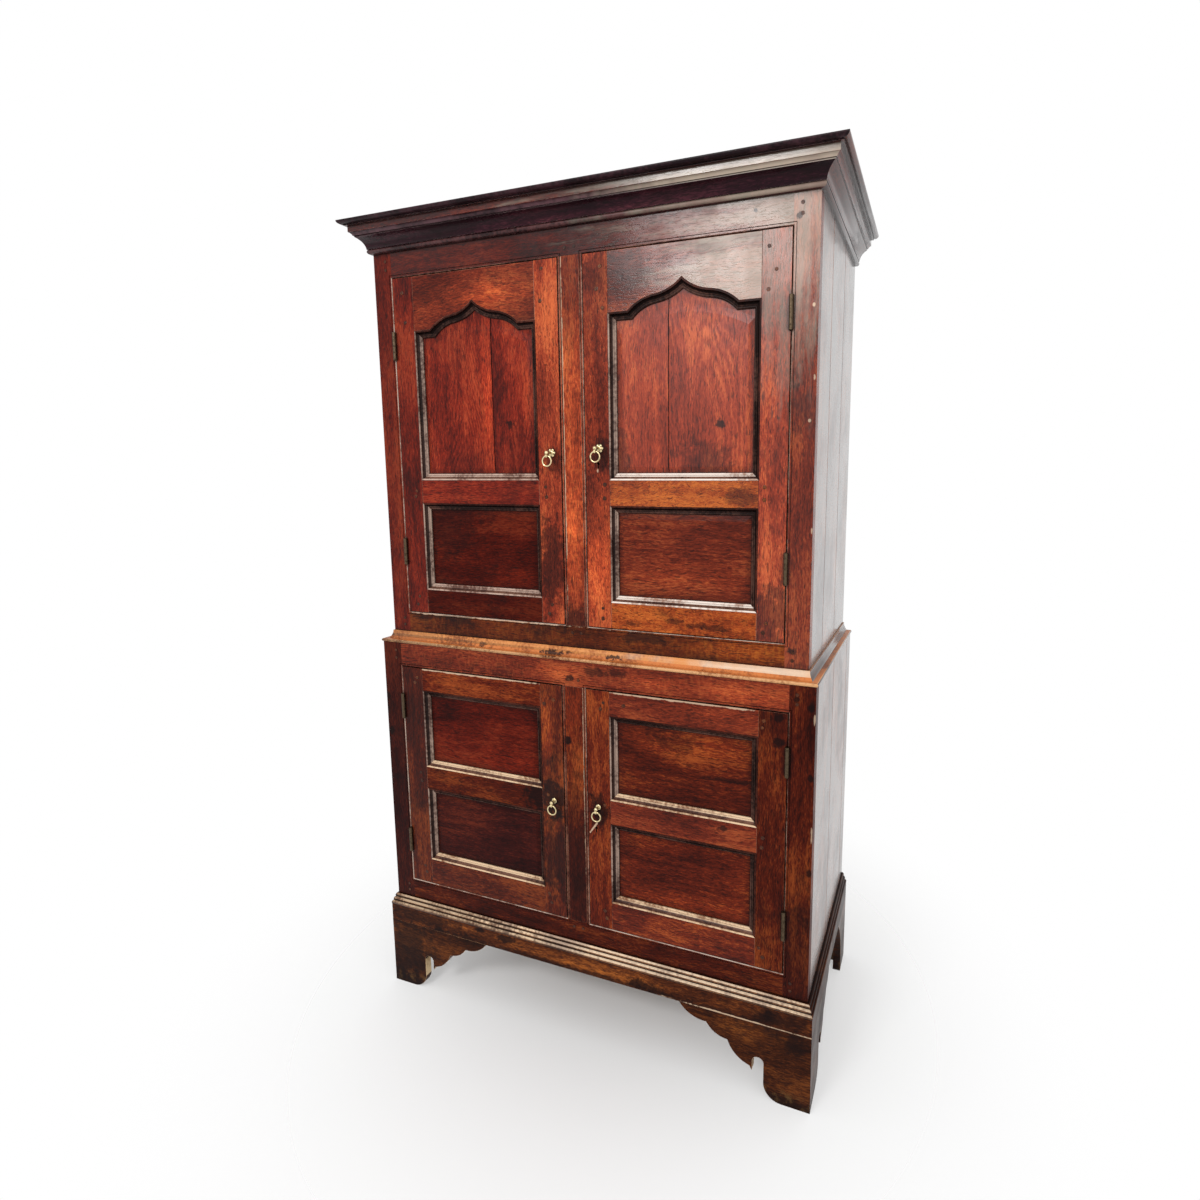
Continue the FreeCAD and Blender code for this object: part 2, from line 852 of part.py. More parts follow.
def moulding_steps():
    """Section of the panel moulding: inner bead, hollow and outer fillet, as width and height."""
    high = panel_depth + moulding_proud
    bead_in = (moulding_width, moulding_bead / 2)
    bead_out = (moulding_width - moulding_bead, moulding_bead)
    hollow_low = (bead_out[0], moulding_bead - moulding_quirk)
    hollow_high = (moulding_fillet, high - moulding_fillet / 2)
    return (
        (moulding_width, 0),
        bead_in,
        bow(bead_in, bead_out, moulding_quirk),
        hollow_low,
        bow(hollow_low, hollow_high, -moulding_hollow),
        (moulding_fillet, high),
        (0, high),
    )


def moulding_section(plan, point, direction):
    """Face of the panel moulding, square to a run at one of its points."""
    side = inward(direction)
    base = plan.front + panel_depth
    return outline_face(lambda w, h: V(point[0] + side[0] * w, base - h, point[1] + side[1] * w),
                        (0, 0), moulding_steps())


def mitre(shape, point, direction, other):
    """Trim the end of a moulding where its direction turns into another one."""
    return shape.cut(beyond(V(point[0], 0, point[1]), V(direction[0] + other[0], 0, direction[1] + other[1])))


def straight_moulding(plan, start, end, before, after):
    """Straight length of panel moulding, mitred to the runs before and after it."""
    length = math.hypot(end[0] - start[0], end[1] - start[1])
    run = ((end[0] - start[0]) / length, (end[1] - start[1]) / length)
    over = 2 * moulding_width
    stick = moulding_section(plan, step_from(start, run, -over), run)
    stick = stick.extrude(V(run[0], 0, run[1]) * (length + 2 * over))
    stick = mitre(stick, end, run, after)
    back_run = (-run[0], -run[1])
    return mitre(stick, start, back_run, (-before[0], -before[1]))


def arch_moulding(plan, ogee):
    """Right half of the moulding under the arch, mitred at the spring and the apex."""
    spare = math.degrees(2 * moulding_width / ogee.radius)
    whole = 2 * ogee.half_turn
    low_centre = step_from(ogee.spring, inward(ogee.start), ogee.radius)
    low_axis = V(low_centre[0], 0, low_centre[1])
    low = moulding_section(plan, ogee.spring, ogee.start)
    low.rotate(low_axis, V(0, -1, 0), -spare)
    low = low.revolve(low_axis, V(0, -1, 0), whole + spare)
    high_centre = step_from(ogee.middle, inward(ogee.bend), -ogee.radius)
    high = moulding_section(plan, ogee.middle, ogee.bend)
    high = high.revolve(V(high_centre[0], 0, high_centre[1]), V(0, 1, 0), whole + spare)
    low = mitre(low, ogee.spring, (-ogee.start[0], -ogee.start[1]), (1, 0))
    high = mitre(high, ogee.apex, ogee.start, (ogee.start[0], -ogee.start[1]))
    return low.fuse(high).removeSplitter()


def build_mouldings(plan, side, finish):
    """Mitred lengths of moulding round the panels of one door."""
    name = f"{plan.case.name}_{side}_door_mouldings"
    right, up, left, down = (1, 0), (0, 1), (-1, 0), (0, -1)
    for bottom, top, arched in plan.panels():
        x0, x1 = plan.panel_inner, plan.panel_outer
        middle = (x0 + x1) / 2
        pieces = [straight_moulding(plan, (x1, bottom), (x1, top), right, left)]
        if arched:
            ogee = Ogee(middle, top)
            pieces.append(straight_moulding(plan, (x1, top), ogee.spring, up, ogee.start))
            pieces.append(arch_moulding(plan, ogee))
        pieces += [piece.mirror(V(middle, 0, 0), V(1, 0, 0)) for piece in pieces]
        pieces.append(straight_moulding(plan, (x0, bottom), (x1, bottom), down, up))
        if not arched:
            pieces.append(straight_moulding(plan, (x1, top), (x0, top), up, down))
        keep(name, *[finish(piece) for piece in pieces])


def keyhole(plan):
    """Keyhole through the lock stile."""
    x, z = plan.key_x, plan.key_height
    half = keyhole_slot_width / 2
    slot = block(x - half, x + half, plan.front, plan.rear, z - keyhole_slot_length, z)
    return rod_y(keyhole_radius, x, plan.front, plan.rear, z).fuse(slot)


def build_door_frame(plan, side, finish):
    """Stiles and rails of one door, with the holes for its handle, hinges and lock."""
    panels = plan.panels()
    spindle_hole = rod_y(spindle_radius + spindle_room, plan.handle_x(side), plan.front, plan.rear,
                         plan.handles[side].height)
    handle_cuts = [spindle_hole] + ([keyhole(plan)] if side == "right" else [])
    grooves = [panel_prism(plan, panel, panel_tongue + groove_room, plan.front + panel_depth - groove_room,
                           plan.front + panel_depth + panel_thickness + groove_room) for panel in panels]
    opening = panel_prism(plan, panels[1], 0, plan.front, plan.rear)
    middle = plan.front + door_thickness / 2
    rails = []
    mortises = []
    low, high = panels
    for bottom, top in ((plan.bottom, low[0]), (low[1], high[0]), (high[1], plan.top)):
        rail = block(plan.panel_inner, plan.panel_outer, plan.front, plan.rear, bottom, top)
        for room in (0.0, tenon_room):
            half = (tenon_thickness + room) / 2
            reach = tenon_length + room
            tenon = block(plan.panel_inner - reach, plan.panel_outer + reach, middle - half, middle + half,
                          bottom + tenon_shoulder - room, top - tenon_shoulder + room)
            if room:
                mortises.append(tenon)
            else:
                rail = rail.fuse(tenon)
        rails.append(cut_all(rail, grooves + handle_cuts + [opening]))
    lock_stile = block(plan.inner, plan.panel_inner, plan.front, plan.rear, plan.bottom, plan.top)
    hinge_stile = block(plan.panel_outer, plan.outer, plan.front, plan.rear, plan.bottom, plan.top)
    lock_stile = cut_all(lock_stile, mortises + grooves + handle_cuts)
    hinge_stile = cut_all(hinge_stile, mortises + grooves + [hinge_gain(plan, z, True) for z in plan.hinges])
    name = f"{plan.case.name}_{side}_door"
    keep(name + "_stiles", finish(lock_stile), finish(hinge_stile))
    keep(name + "_rails", *[finish(rail) for rail in rails])


def build_hinges(plan, side, finish):
    """Butt hinges of one door: a leaf on the frame with the pin, and a leaf on the door."""
    x = hinge_axis_x(plan)
    y = plan.front - knuckle_stand
    third = hinge_length / 3
    for z in plan.hinges:
        low = z - hinge_length / 2
        high = z + hinge_length / 2
        own = [rod_z(knuckle_radius, x, y, low, low + third - knuckle_gap),
               rod_z(knuckle_radius, x, y, high - third + knuckle_gap, high)]
        middle = rod_z(knuckle_radius, x, y, low + third, high - third)
        clear = knuckle_radius + knuckle_room
        own_room = [rod_z(clear, x, y, low - knuckle_room, low + third),
                    rod_z(clear, x, y, high - third, high + knuckle_room)]
        middle_room = rod_z(clear, x, y, low + third - knuckle_gap, high - third + knuckle_gap)
        bore = rod_z(pin_radius + pin_room, x, y, low - pin_radius, high + pin_radius)
        edge = plan.case.open_outer
        frame_leaf = block(edge, edge + hinge_leaf_thickness, y, plan.front + hinge_leaf_width, low, high)
        frame_leaf = frame_leaf.cut(middle_room).fuse(own).removeSplitter().cut(bore)
        door_leaf = block(plan.outer - hinge_leaf_thickness, plan.outer, y, plan.front + hinge_leaf_width,
                          low, high)
        door_leaf = cut_all(door_leaf, own_room).fuse(middle).removeSplitter().cut(bore)
        pin = rod_z(pin_radius, x, y, low, high)
        keep("frame_hinges", finish(frame_leaf), finish(pin))
        keep(f"{plan.case.name}_{side}_door_hinge_leaves", finish(door_leaf))


def turned_spindle(handle, x, face, back_end):
    """Spindle of one handle: a base on the door, a neck and a ball in front, and a plain shank behind."""
    stand = handle.stand - base_room
    rim = (handle.base_radius, handle.base_thickness * base_rim_share)
    crown = (handle.base_radius * base_crown_share, handle.base_thickness)
    neck = (neck_radius, handle.base_thickness + neck_radius)
    ball_start = stand - math.sqrt(ball_radius ** 2 - neck_radius ** 2)
    steps = (
        (handle.base_radius, 0),
        rim,
        bow(rim, crown, handle.base_thickness * base_bow_share),
        bow(crown, neck, -neck_radius * base_bow_share),
        (neck_radius, ball_start),
        ((ball_radius, stand), (0, stand + ball_radius)),
        (0, face - back_end),
        (spindle_radius, face - back_end),
    )
    profile = outline_face(lambda r, out: V(x + r, face - out, handle.height), (spindle_radius, 0), steps)
    return profile.revolve(V(x, 0, handle.height), V(0, 1, 0), 360)


def petals(handle, x, face):
    """Rounded petals of the rosette, evenly round the rim of its dome."""
    rounds = []
    for i in range(handle.petals):
        along, up = turn((handle.base_radius, 0), 360 / handle.petals * i)
        centre = V(x + along, face, handle.height + up)
        rounds.append(Part.makeSphere(petal_radius, centre, V(0, -1, 0), 0, 90, 360))
    return rounds


def build_latch(plan, side, finish):
    """Turned spindle with the lug for its ring, and the bar that it turns behind the muntin."""
    handle = plan.handles[side]
    face = plan.front - base_room
    bar_front = plan.rear + latch_stand
    bar_back = bar_front + latch_thickness
    x, z = plan.handle_x(side), handle.height
    spindle = turned_spindle(handle, x, face, bar_back)
    for petal in petals(handle, x, face):
        spindle = spindle.fuse(petal)
    eye_y, eye_z = plan.front - handle.stand, z - lug_drop
    across = V(1, 0, 0)
    lug = Part.makeCylinder(lug_radius, lug_width, V(x - lug_width / 2, eye_y, eye_z), across)
    eye = Part.makeCylinder(eye_radius(), 2 * lug_width, V(x - lug_width, eye_y, eye_z), across)
    spindle = spindle.fuse(lug).cut(eye)
    bar = block(x - latch_width / 2, x + latch_width / 2, bar_front, bar_back, z, z + latch_length)
    bar = bar.fuse(rod_y(latch_width / 2, x, bar_front, bar_back, z)).removeSplitter()
    bar = bar.cut(rod_y(spindle_radius, x, bar_front, bar_back, z))
    rivet = rod_y(latch_rivet_radius, x, bar_back, bar_back + latch_rivet_height, z)
    keep(f"{plan.case.name}_{side}_latch", finish(spindle), finish(bar), finish(rivet))


def eye_radius():
    """Radius of the eye, which clears the curve of the ring's wire."""
    sag = ring_radius - math.sqrt(ring_radius ** 2 - (lug_width / 2) ** 2)
    return ring_wire + sag + ring_room


def build_ring(plan, side, finish):
    """Drop ring, which hangs in the eye of the lug."""
    handle = plan.handles[side]
    centre = V(plan.handle_x(side), plan.front - handle.stand, handle.height - lug_drop - ring_radius)
    ring = Part.makeTorus(ring_radius, ring_wire, centre, V(0, 1, 0))
    keep(f"{plan.case.name}_{side}_ring", finish(ring))


def build_lock(plan):
    """Rim lock on the back of a right hand door: an open backed case and its sliding bolt."""
    x0 = plan.inner + (lock_stile_width - lock_width) / 2
    x1 = x0 + lock_width
    y0 = plan.rear
    y1 = plan.rear + lock_depth
    z0 = plan.key_height - lock_below_key
    z1 = z0 + lock_height
    case = block(x0, x1, y0, y1, z0, z1)
    case = case.cut(block(x0 + lock_wall, x1 - lock_wall, y0, y1 - lock_wall, z0 + lock_wall, z1 - lock_wall))
    bolt_y = y0 + bolt_stand
    bolt_z = plan.key_height + bolt_above_key
    slot = block(x0 - lock_wall, x0 + 2 * lock_wall, bolt_y - bolt_room, bolt_y + bolt_thickness + bolt_room,
                 bolt_z - bolt_room, bolt_z + bolt_height + bolt_room)
    bolt = block(x0, x0 + bolt_length, bolt_y, bolt_y + bolt_thickness, bolt_z, bolt_z + bolt_height)
    keep(plan.case.name + "_lock_case", case.cut(slot))
    keep(plan.case.name + "_lock_bolt", bolt)


def build_doors(plan):
    """Both doors of one case with their fittings."""
    for side, finish in (("left", mirrored), ("right", lambda shape: shape)):
        build_door_frame(plan, side, finish)
        build_panels(plan, side, finish)
        build_mouldings(plan, side, finish)
        build_hinges(plan, side, finish)
        build_latch(plan, side, finish)
        build_ring(plan, side, finish)
    build_lock(plan)


def main():
    """Build every piece and write one file for each node."""
    for plan in (upper_doors, lower_doors):
        build_front_frame(plan)
        build_sides(plan.case)
        build_back(plan.case)
        build_doors(plan)
    build_levels()
    build_cornice()
    build_waist()
    build_plinth()
    build_feet()
    os.makedirs("parts", exist_ok=True)
    for name, solids in nodes.items():
        shape = Part.makeCompound(solids) if len(solids) > 1 else solids[0]
        shape.exportStep(f"parts/{name}.step")


main()
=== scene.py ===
"""Dresses a two stage oak press cupboard: polished oak with painted light and shade, worn edges, brass rings,
floor, light and camera.
"""

import logging
import math
import random
from dataclasses import dataclass, field
from enum import Enum
from typing import Any, Callable, ClassVar, Iterable, Protocol

import bmesh
import bpy
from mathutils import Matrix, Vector

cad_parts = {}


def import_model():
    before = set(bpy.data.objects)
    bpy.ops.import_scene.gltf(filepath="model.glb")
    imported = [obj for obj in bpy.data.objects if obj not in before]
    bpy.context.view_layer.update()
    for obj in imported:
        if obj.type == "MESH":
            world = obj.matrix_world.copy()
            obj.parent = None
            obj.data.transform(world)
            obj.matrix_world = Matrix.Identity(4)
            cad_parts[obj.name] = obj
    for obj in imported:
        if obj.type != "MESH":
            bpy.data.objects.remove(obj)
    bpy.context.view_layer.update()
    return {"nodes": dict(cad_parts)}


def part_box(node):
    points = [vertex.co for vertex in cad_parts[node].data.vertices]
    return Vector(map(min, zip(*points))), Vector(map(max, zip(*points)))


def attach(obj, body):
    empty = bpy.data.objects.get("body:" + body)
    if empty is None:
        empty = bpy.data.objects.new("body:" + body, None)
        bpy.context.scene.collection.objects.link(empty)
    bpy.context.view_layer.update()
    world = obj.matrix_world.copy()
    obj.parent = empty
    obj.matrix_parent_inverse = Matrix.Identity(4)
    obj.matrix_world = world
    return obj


log = logging.getLogger("press_cupboard")

Colour = tuple[float, float, float]
Chooser = Callable[[Vector, Vector], int]

MM = 0.001
PEG_SEED = 7
NOISE_MIDDLE = 0.5

# How far a noise breaks the edges of hard and of soft marks
HARD_BREAK = 4.0
SOFT_BREAK = 3.0

# Curve that a screen puts on a shade
SCREEN_TOP = 255
STRAIGHT_END = 0.04045
STRAIGHT_SLOPE = 12.92
CURVE_OFFSET = 0.055
CURVE_POWER = 2.4

# Planes of the cupboard's fronts, in millimetres
UPPER_FRONT = -223.0
LOWER_FRONT = -243.0
PLINTH_FRONT = -256.0


def shade(red: int, green: int, blue: int) -> Colour:
    """Turn a shade written from 0 to 255 into a linear colour.

    Args:
        red: Red as it shows on a screen.
        green: Green as it shows on a screen.
        blue: Blue as it shows on a screen.

    Returns:
        The linear colour that renders as that shade.
    """
    def straight(level: int) -> float:
        """Undo the screen's curve for one channel.

        Args:
            level: Level of the channel on a screen.

        Returns:
            The linear level from 0 to 1.
        """
        share = level / SCREEN_TOP
        curved = ((share + CURVE_OFFSET) / (1 + CURVE_OFFSET)) ** CURVE_POWER
        return share / STRAIGHT_SLOPE if share <= STRAIGHT_END else curved

    return straight(red), straight(green), straight(blue)


# Dark of dirt, pores, stains and knots, also used as painted shade in corners and as painted shadows
DIRT_AND_SHADE = shade(20, 9, 9)
BARE = shade(206, 178, 150)
# Pale colour of painted highlights on the polish
BLOOM = shade(226, 209, 186)
RUBBED = shade(150, 112, 66)
GLOW = (2.3, 2.5, 2.0)


class Case(Enum):
    """One of the two cases that the cupboard is made of."""

    UPPER = "upper"
    LOWER = "lower"


class Side(Enum):
    """Side of the cupboard, seen from the front."""

    LEFT = "left"
    RIGHT = "right"


class Grain(Enum):
    """Way that the fibres of a board run, as the axis that they follow."""

    ACROSS = 0
    DEEP = 1
    UP = 2


class Tone(Enum):
    """Dark, middle and light shade of one kind of oak on the cupboard."""

    CHESTNUT = (shade(46, 12, 8), shade(98, 32, 16), shade(160, 76, 34))
    RUSSET = (shade(64, 19, 12), shade(128, 46, 26), shade(180, 88, 48))
    RUDDY = (shade(56, 11, 8), shade(118, 32, 18), shade(162, 64, 36))
    AMBER = (shade(84, 30, 11), shade(154, 64, 26), shade(208, 112, 46))
    PLUM = (shade(36, 10, 11), shade(70, 22, 18), shade(116, 46, 28))
    UMBER = (shade(32, 12, 7), shade(78, 36, 16), shade(140, 76, 33))
    DAMSON = (shade(24, 7, 14), shade(46, 17, 27), shade(82, 38, 48))
    DRY = (shade(92, 66, 42), shade(138, 104, 70), shade(170, 136, 98))


class Finish(Protocol):
    """Anything that can make the material of a surface."""

    name: str

    def material(self) -> bpy.types.Material:
        """Make the material."""


class Graph:
    """Adds shader nodes to one tree and joins them."""

    FACING: ClassVar[tuple[float, float]] = (-0.05, -0.3)
    GRIME_AND_SHADE_SPAN: ClassVar[tuple[float, float]] = (0.98, 0.68)
    CORNER_SAMPLES: ClassVar[int] = 8
    WANDER_DETAIL: ClassVar[float] = 3.0
    MIX_SHARE: ClassVar[int] = 0
    MIX_FIRST: ClassVar[int] = 6
    MIX_SECOND: ClassVar[int] = 7
    MIX_RESULT: ClassVar[int] = 2

    def __init__(self, tree: bpy.types.NodeTree) -> None:
        """Take a tree and empty it.

        Args:
            tree: Tree of a material or of the world.
        """
        self.tree = tree
        tree.nodes.clear()

    def feed(self, socket: bpy.types.NodeSocket, value: Any) -> None:
        """Join a socket to another one, or set it to a value.

        Args:
            socket: Input to feed.
            value: Output socket, number or tuple.
        """
        if isinstance(value, bpy.types.NodeSocket):
            self.tree.links.new(value, socket)
        elif isinstance(value, tuple) and socket.type == "RGBA":
            socket.default_value = (*value, 1.0)
        else:
            socket.default_value = value

    def add(self, kind: str, inputs: dict[Any, Any] | None = None, **settings: Any) -> bpy.types.Node:
        """Add one node.

        Args:
            kind: Blender's name of the node.
            inputs: Values or sockets for its inputs, by name or number.
            **settings: Properties of the node.

        Returns:
            The new node.
        """
        node = self.tree.nodes.new(kind)
        for name, value in settings.items():
            setattr(node, name, value)
        for key, value in (inputs or {}).items():
            self.feed(node.inputs[key], value)
        return node

    def own_place(self) -> bpy.types.NodeSocket:
        """Give the place on the cupboard, in metres."""
        return self.add("ShaderNodeTexCoord").outputs["Object"]

    def front_share(self) -> bpy.types.NodeSocket:
        """Tell faces that look forward, which come out at 1, from the rest, at 0.

        Returns:
            The socket of the share.
        """
        normal = self.add("ShaderNodeTexCoord").outputs["Normal"]
        return self.span(self.add("ShaderNodeSeparateXYZ", {0: normal}).outputs["Y"], *self.FACING)

    def math(self, operation: str, first: Any, second: Any = 0.0) -> bpy.types.NodeSocket:
        """Work out one number from two.

        Args:
            operation: Blender's name of the operation.
            first: First number or socket.
            second: Second number or socket.

        Returns:
            The socket of the result.
        """
        return self.add("ShaderNodeMath", {0: first, 1: second}, operation=operation).outputs[0]

    def vector(self, operation: str, first: Any, second: Any) -> bpy.types.NodeSocket:
        """Work out one vector from two.

        Args:
            operation: Blender's name of the operation.
            first: First vector or socket.
            second: Second vector or socket.

        Returns:
            The socket of the result.
        """
        return self.add("ShaderNodeVectorMath", {0: first, 1: second}, operation=operation).outputs[0]

    def length(self, vector: Any) -> bpy.types.NodeSocket:
        """Give the length of a vector."""
        return self.add("ShaderNodeVectorMath", {0: vector}, operation="LENGTH").outputs["Value"]

    def noise(self, place: Any, scale: float, detail: float = 2.0, rough: float = 0.5) -> bpy.types.Node:
        """Add a noise.

        Args:
            place: Socket of the place.
            scale: Bumps for each metre, roughly.
            detail: Levels of finer noise.
            rough: Weight of the finer levels.

        Returns:
            The noise node.
        """
        return self.add("ShaderNodeTexNoise",
                        {"Vector": place, "Scale": scale, "Detail": detail, "Roughness": rough})

    def wandering(self, place: Any, scale: float, reach: float) -> bpy.types.NodeSocket:
        """Shift a place about at random.

        Args:
            place: Socket of the place.
            scale: Changes of the shift for each metre, roughly.
            reach: Size of the shift in metres.

        Returns:
            The socket of the shifted place.
        """
        noise = self.noise(place, scale, self.WANDER_DETAIL).outputs["Color"]
        shift = self.vector("SUBTRACT", noise, (NOISE_MIDDLE,) * 3)
        return self.vector("ADD", place, self.vector("MULTIPLY", shift, (reach,) * 3))

    def weighed(self, *pairs: tuple[Any, float]) -> bpy.types.NodeSocket:
        """Add numbers up by their weights.

        Args:
            *pairs: Numbers or sockets with their weights.

        Returns:
            The socket of the sum.
        """
        total: Any = 0.0
        for value, weight in pairs:
            total = self.math("ADD", total, self.math("MULTIPLY", value, weight))
        return total

    def span(self, value: Any, low: float, high: float, start: float = 0.0,
             end: float = 1.0) -> bpy.types.NodeSocket:
        """Ease a number from one span into another and hold it there.

        Args:
            value: Number or socket.
            low: Value that gives the start.
            high: Value that gives the end.
            start: Result at the low value.
            end: Result at the high value.

        Returns:
            The socket of the result.
        """
        inputs = {"Value": value, "From Min": low, "From Max": high, "To Min": start, "To Max": end}
        return self.add("ShaderNodeMapRange", inputs, interpolation_type="SMOOTHSTEP").outputs[0]

    def blend(self, share: Any, first: Any, second: Any, mode: str = "MIX") -> bpy.types.NodeSocket:
        """Blend two colours.

        Args:
            share: Share of the second colour.
            first: First colour or socket.
            second: Second colour or socket.
            mode: Blender's name of the way to blend.

        Returns:
            The socket of the blended colour.
        """
        inputs = {self.MIX_SHARE: share, self.MIX_FIRST: first, self.MIX_SECOND: second}
        node = self.add("ShaderNodeMix", inputs, data_type="RGBA", blend_type=mode)
        return node.outputs[self.MIX_RESULT]

    def ramp(self, share: Any, stops: Iterable[tuple[float, Colour]]) -> bpy.types.NodeSocket:
        """Look a number up in a row of colours.

        Args:
            share: Number or socket from 0 to 1.
            stops: Places from 0 to 1 with their colours.

        Returns:
            The socket of the colour.
        """
        node = self.add("ShaderNodeValToRGB", {"Fac": share})
        elements = node.color_ramp.elements
        stops = list(stops)
        while len(elements) < len(stops):
            elements.new(1.0)
        for element, (place, colour) in zip(elements, stops):
            element.position = place
            element.color = (*colour, 1.0)
        return node.outputs["Color"]

    def relief(self, height: Any, strength: float, rise: float, under: Any = None) -> bpy.types.NodeSocket:
        """Give the surface a fine relief.

        Args:
            height: Socket of the height from 0 to 1.
            strength: Strength of the relief.
            rise: Height of the relief in millimetres.
            under: Socket of a normal that the relief is laid on, if it has one.

        Returns:
            The socket of the normal.
        """
        inputs = {"Height": height, "Strength": strength, "Distance": rise * MM}
        if under is not None:
            inputs["Normal"] = under
        return self.add("ShaderNodeBump", inputs).outputs[0]

    def corners(self, reach: float) -> bpy.types.NodeSocket:
        """Tell hollows and corners, which come out near 0, from open faces, near 1.

        Args:
            reach: How far a corner shows, in millimetres.

        Returns:
            The socket of the openness.
        """
        return self.add("ShaderNodeAmbientOcclusion", {"Distance": reach * MM},
                        samples=self.CORNER_SAMPLES).outputs["AO"]

    def grimed_and_shaded(self, colour: Any, depth: float, reach: float) -> bpy.types.NodeSocket:
        """Darken a colour in the corners found by ambient occlusion: dirt together with painted shade.

        Args:
            colour: Colour so far.
            depth: Strength of the dirt and painted shade.
            reach: How far it spreads from a corner, in millimetres.

        Returns:
            The socket of the darkened colour.
        """
        return self.blend(self.span(self.corners(reach), *self.GRIME_AND_SHADE_SPAN, 0.0, depth), colour, DIRT_AND_SHADE)


def empty_material(name: str) -> tuple[bpy.types.Material, Graph]:
    """Start a material with an empty tree.

    Args:
        name: Name of the finish.

    Returns:
        The material, and the graph of its tree.
    """
    made = bpy.data.materials.new(name)
    made.use_nodes = True
    return made, Graph(made.node_tree)


class MarkKind(Enum):
    """What a mark is: a dark stain, knot or painted shadow, an amber glow, a chip down to bare wood or a
    painted highlight line, or a painted highlight patch.
    """

    DARK = "dark"
    GLOW = "glow"
    CHIP = "chip"
    BLOOM = "bloom"


MARK_COLOURS = {MarkKind.DARK: DIRT_AND_SHADE, MarkKind.CHIP: BARE, MarkKind.BLOOM: BLOOM}


@dataclass(frozen=True)
class Mark:
    """One mark on a front, with its place and half sizes in millimetres and a strength from 0 to 1."""

    kind: MarkKind
    x: float
    z: float
    half_x: float
    half_z: float
    strength: float

    RIM: ClassVar[float] = 1.5
    SOFT_CORE: ClassVar[float] = 0.2
    HARD_CORE: ClassVar[float] = 0.7

    @property
    def soft(self) -> bool:
        """Whether it fades out slowly."""
        return self.kind in (MarkKind.GLOW, MarkKind.BLOOM)

    def laid(self, graph: Graph, place: Any, front: Any, breaks: Any, colour: Any) -> bpy.types.NodeSocket:
        """Lay the mark over a colour.

        Args:
            graph: Graph of the material.
            place: Socket of the place.
            front: Socket of the share that looks forward.
            breaks: Socket of a noise about 0 that breaks its edge.
            colour: Colour so far.

        Returns:
            The socket of the marked colour.
        """
        centre = (self.x * MM, 0.0, self.z * MM)
        size = (1 / (self.half_x * MM), 0.0, 1 / (self.half_z * MM))
        away = graph.length(graph.vector("MULTIPLY", graph.vector("SUBTRACT", place, centre), size))
        core = self.SOFT_CORE if self.soft else self.HARD_CORE
        share = graph.span(graph.math("ADD", away, breaks), self.RIM, core, 0.0, self.strength)
        share = graph.math("MULTIPLY", share, front)
        if self.kind is MarkKind.GLOW:
            return graph.blend(share, colour, GLOW, "MULTIPLY")
        return graph.blend(share, colour, MARK_COLOURS[self.kind])


def dark(x: float, z: float, half_x: float, half_z: float, strength: float = 0.85) -> Mark:
    """Set out a dark stain, knot or burn, or a painted shadow beside a ring."""
    return Mark(MarkKind.DARK, x, z, half_x, half_z, strength)


def glow(x: float, z: float, half_x: float, half_z: float, strength: float = 0.7) -> Mark:
    """Set out an amber glow where the polish is thin."""
    return Mark(MarkKind.GLOW, x, z, half_x, half_z, strength)


def chip(x: float, z: float, half_x: float, half_z: float, strength: float = 0.9) -> Mark:
    """Set out a chip or scratch down to bare wood; some long thin ones along beads and rails are painted
    highlight lines.
    """
    return Mark(MarkKind.CHIP, x, z, half_x, half_z, strength)


def bloom(x: float, z: float, half_x: float, half_z: float, strength: float = 0.5) -> Mark:
    """Set out a painted highlight: a pale patch of reflected light on the polish."""
    return Mark(MarkKind.BLOOM, x, z, half_x, half_z, strength)


def scratch(x: float, z: float, step_x: float, step_z: float, count: int) -> tuple[Mark, ...]:
    """Set out a slanting scratch as a row of small chips."""
    return tuple(chip(x + step_x * i, z + step_z * i, 1.5, 2.2, 0.75) for i in range(count))


def marked(graph: Graph, marks: Iterable[Mark], place: Any, speck: Any, streak: Any, colour: Any) -> Any:
    """Lay marks over a colour.

    Args:
        graph: Graph of the material.
        marks: Marks to lay.
        place: Socket of the place.
        speck: Socket of a noise that breaks the edges of stains and chips.
        streak: Socket of a noise that breaks the soft marks along the grain.
        colour: Colour so far.

    Returns:
        The colour with the marks.
    """
    front = graph.front_share()
    broken = graph.math("MULTIPLY", graph.math("SUBTRACT", speck, NOISE_MIDDLE), HARD_BREAK)
    streaked = graph.math("MULTIPLY", graph.math("SUBTRACT", streak, NOISE_MIDDLE), SOFT_BREAK)
    for mark in marks:
        colour = mark.laid(graph, place, front, streaked if mark.soft else broken, colour)
    return colour


@dataclass(frozen=True)
class Layer:
    """One layer of noise in a finish: bumps for each metre, and in oak the scale along the fibres."""

    scale: float
    along: float = 1.0
    detail: float = 2.0
    rough: float = 0.5

    def noise(self, graph: Graph, place: Any) -> bpy.types.NodeSocket:
        """Add the noise of the layer at a place."""
        return graph.noise(place, self.scale, self.detail, self.rough).outputs[0]


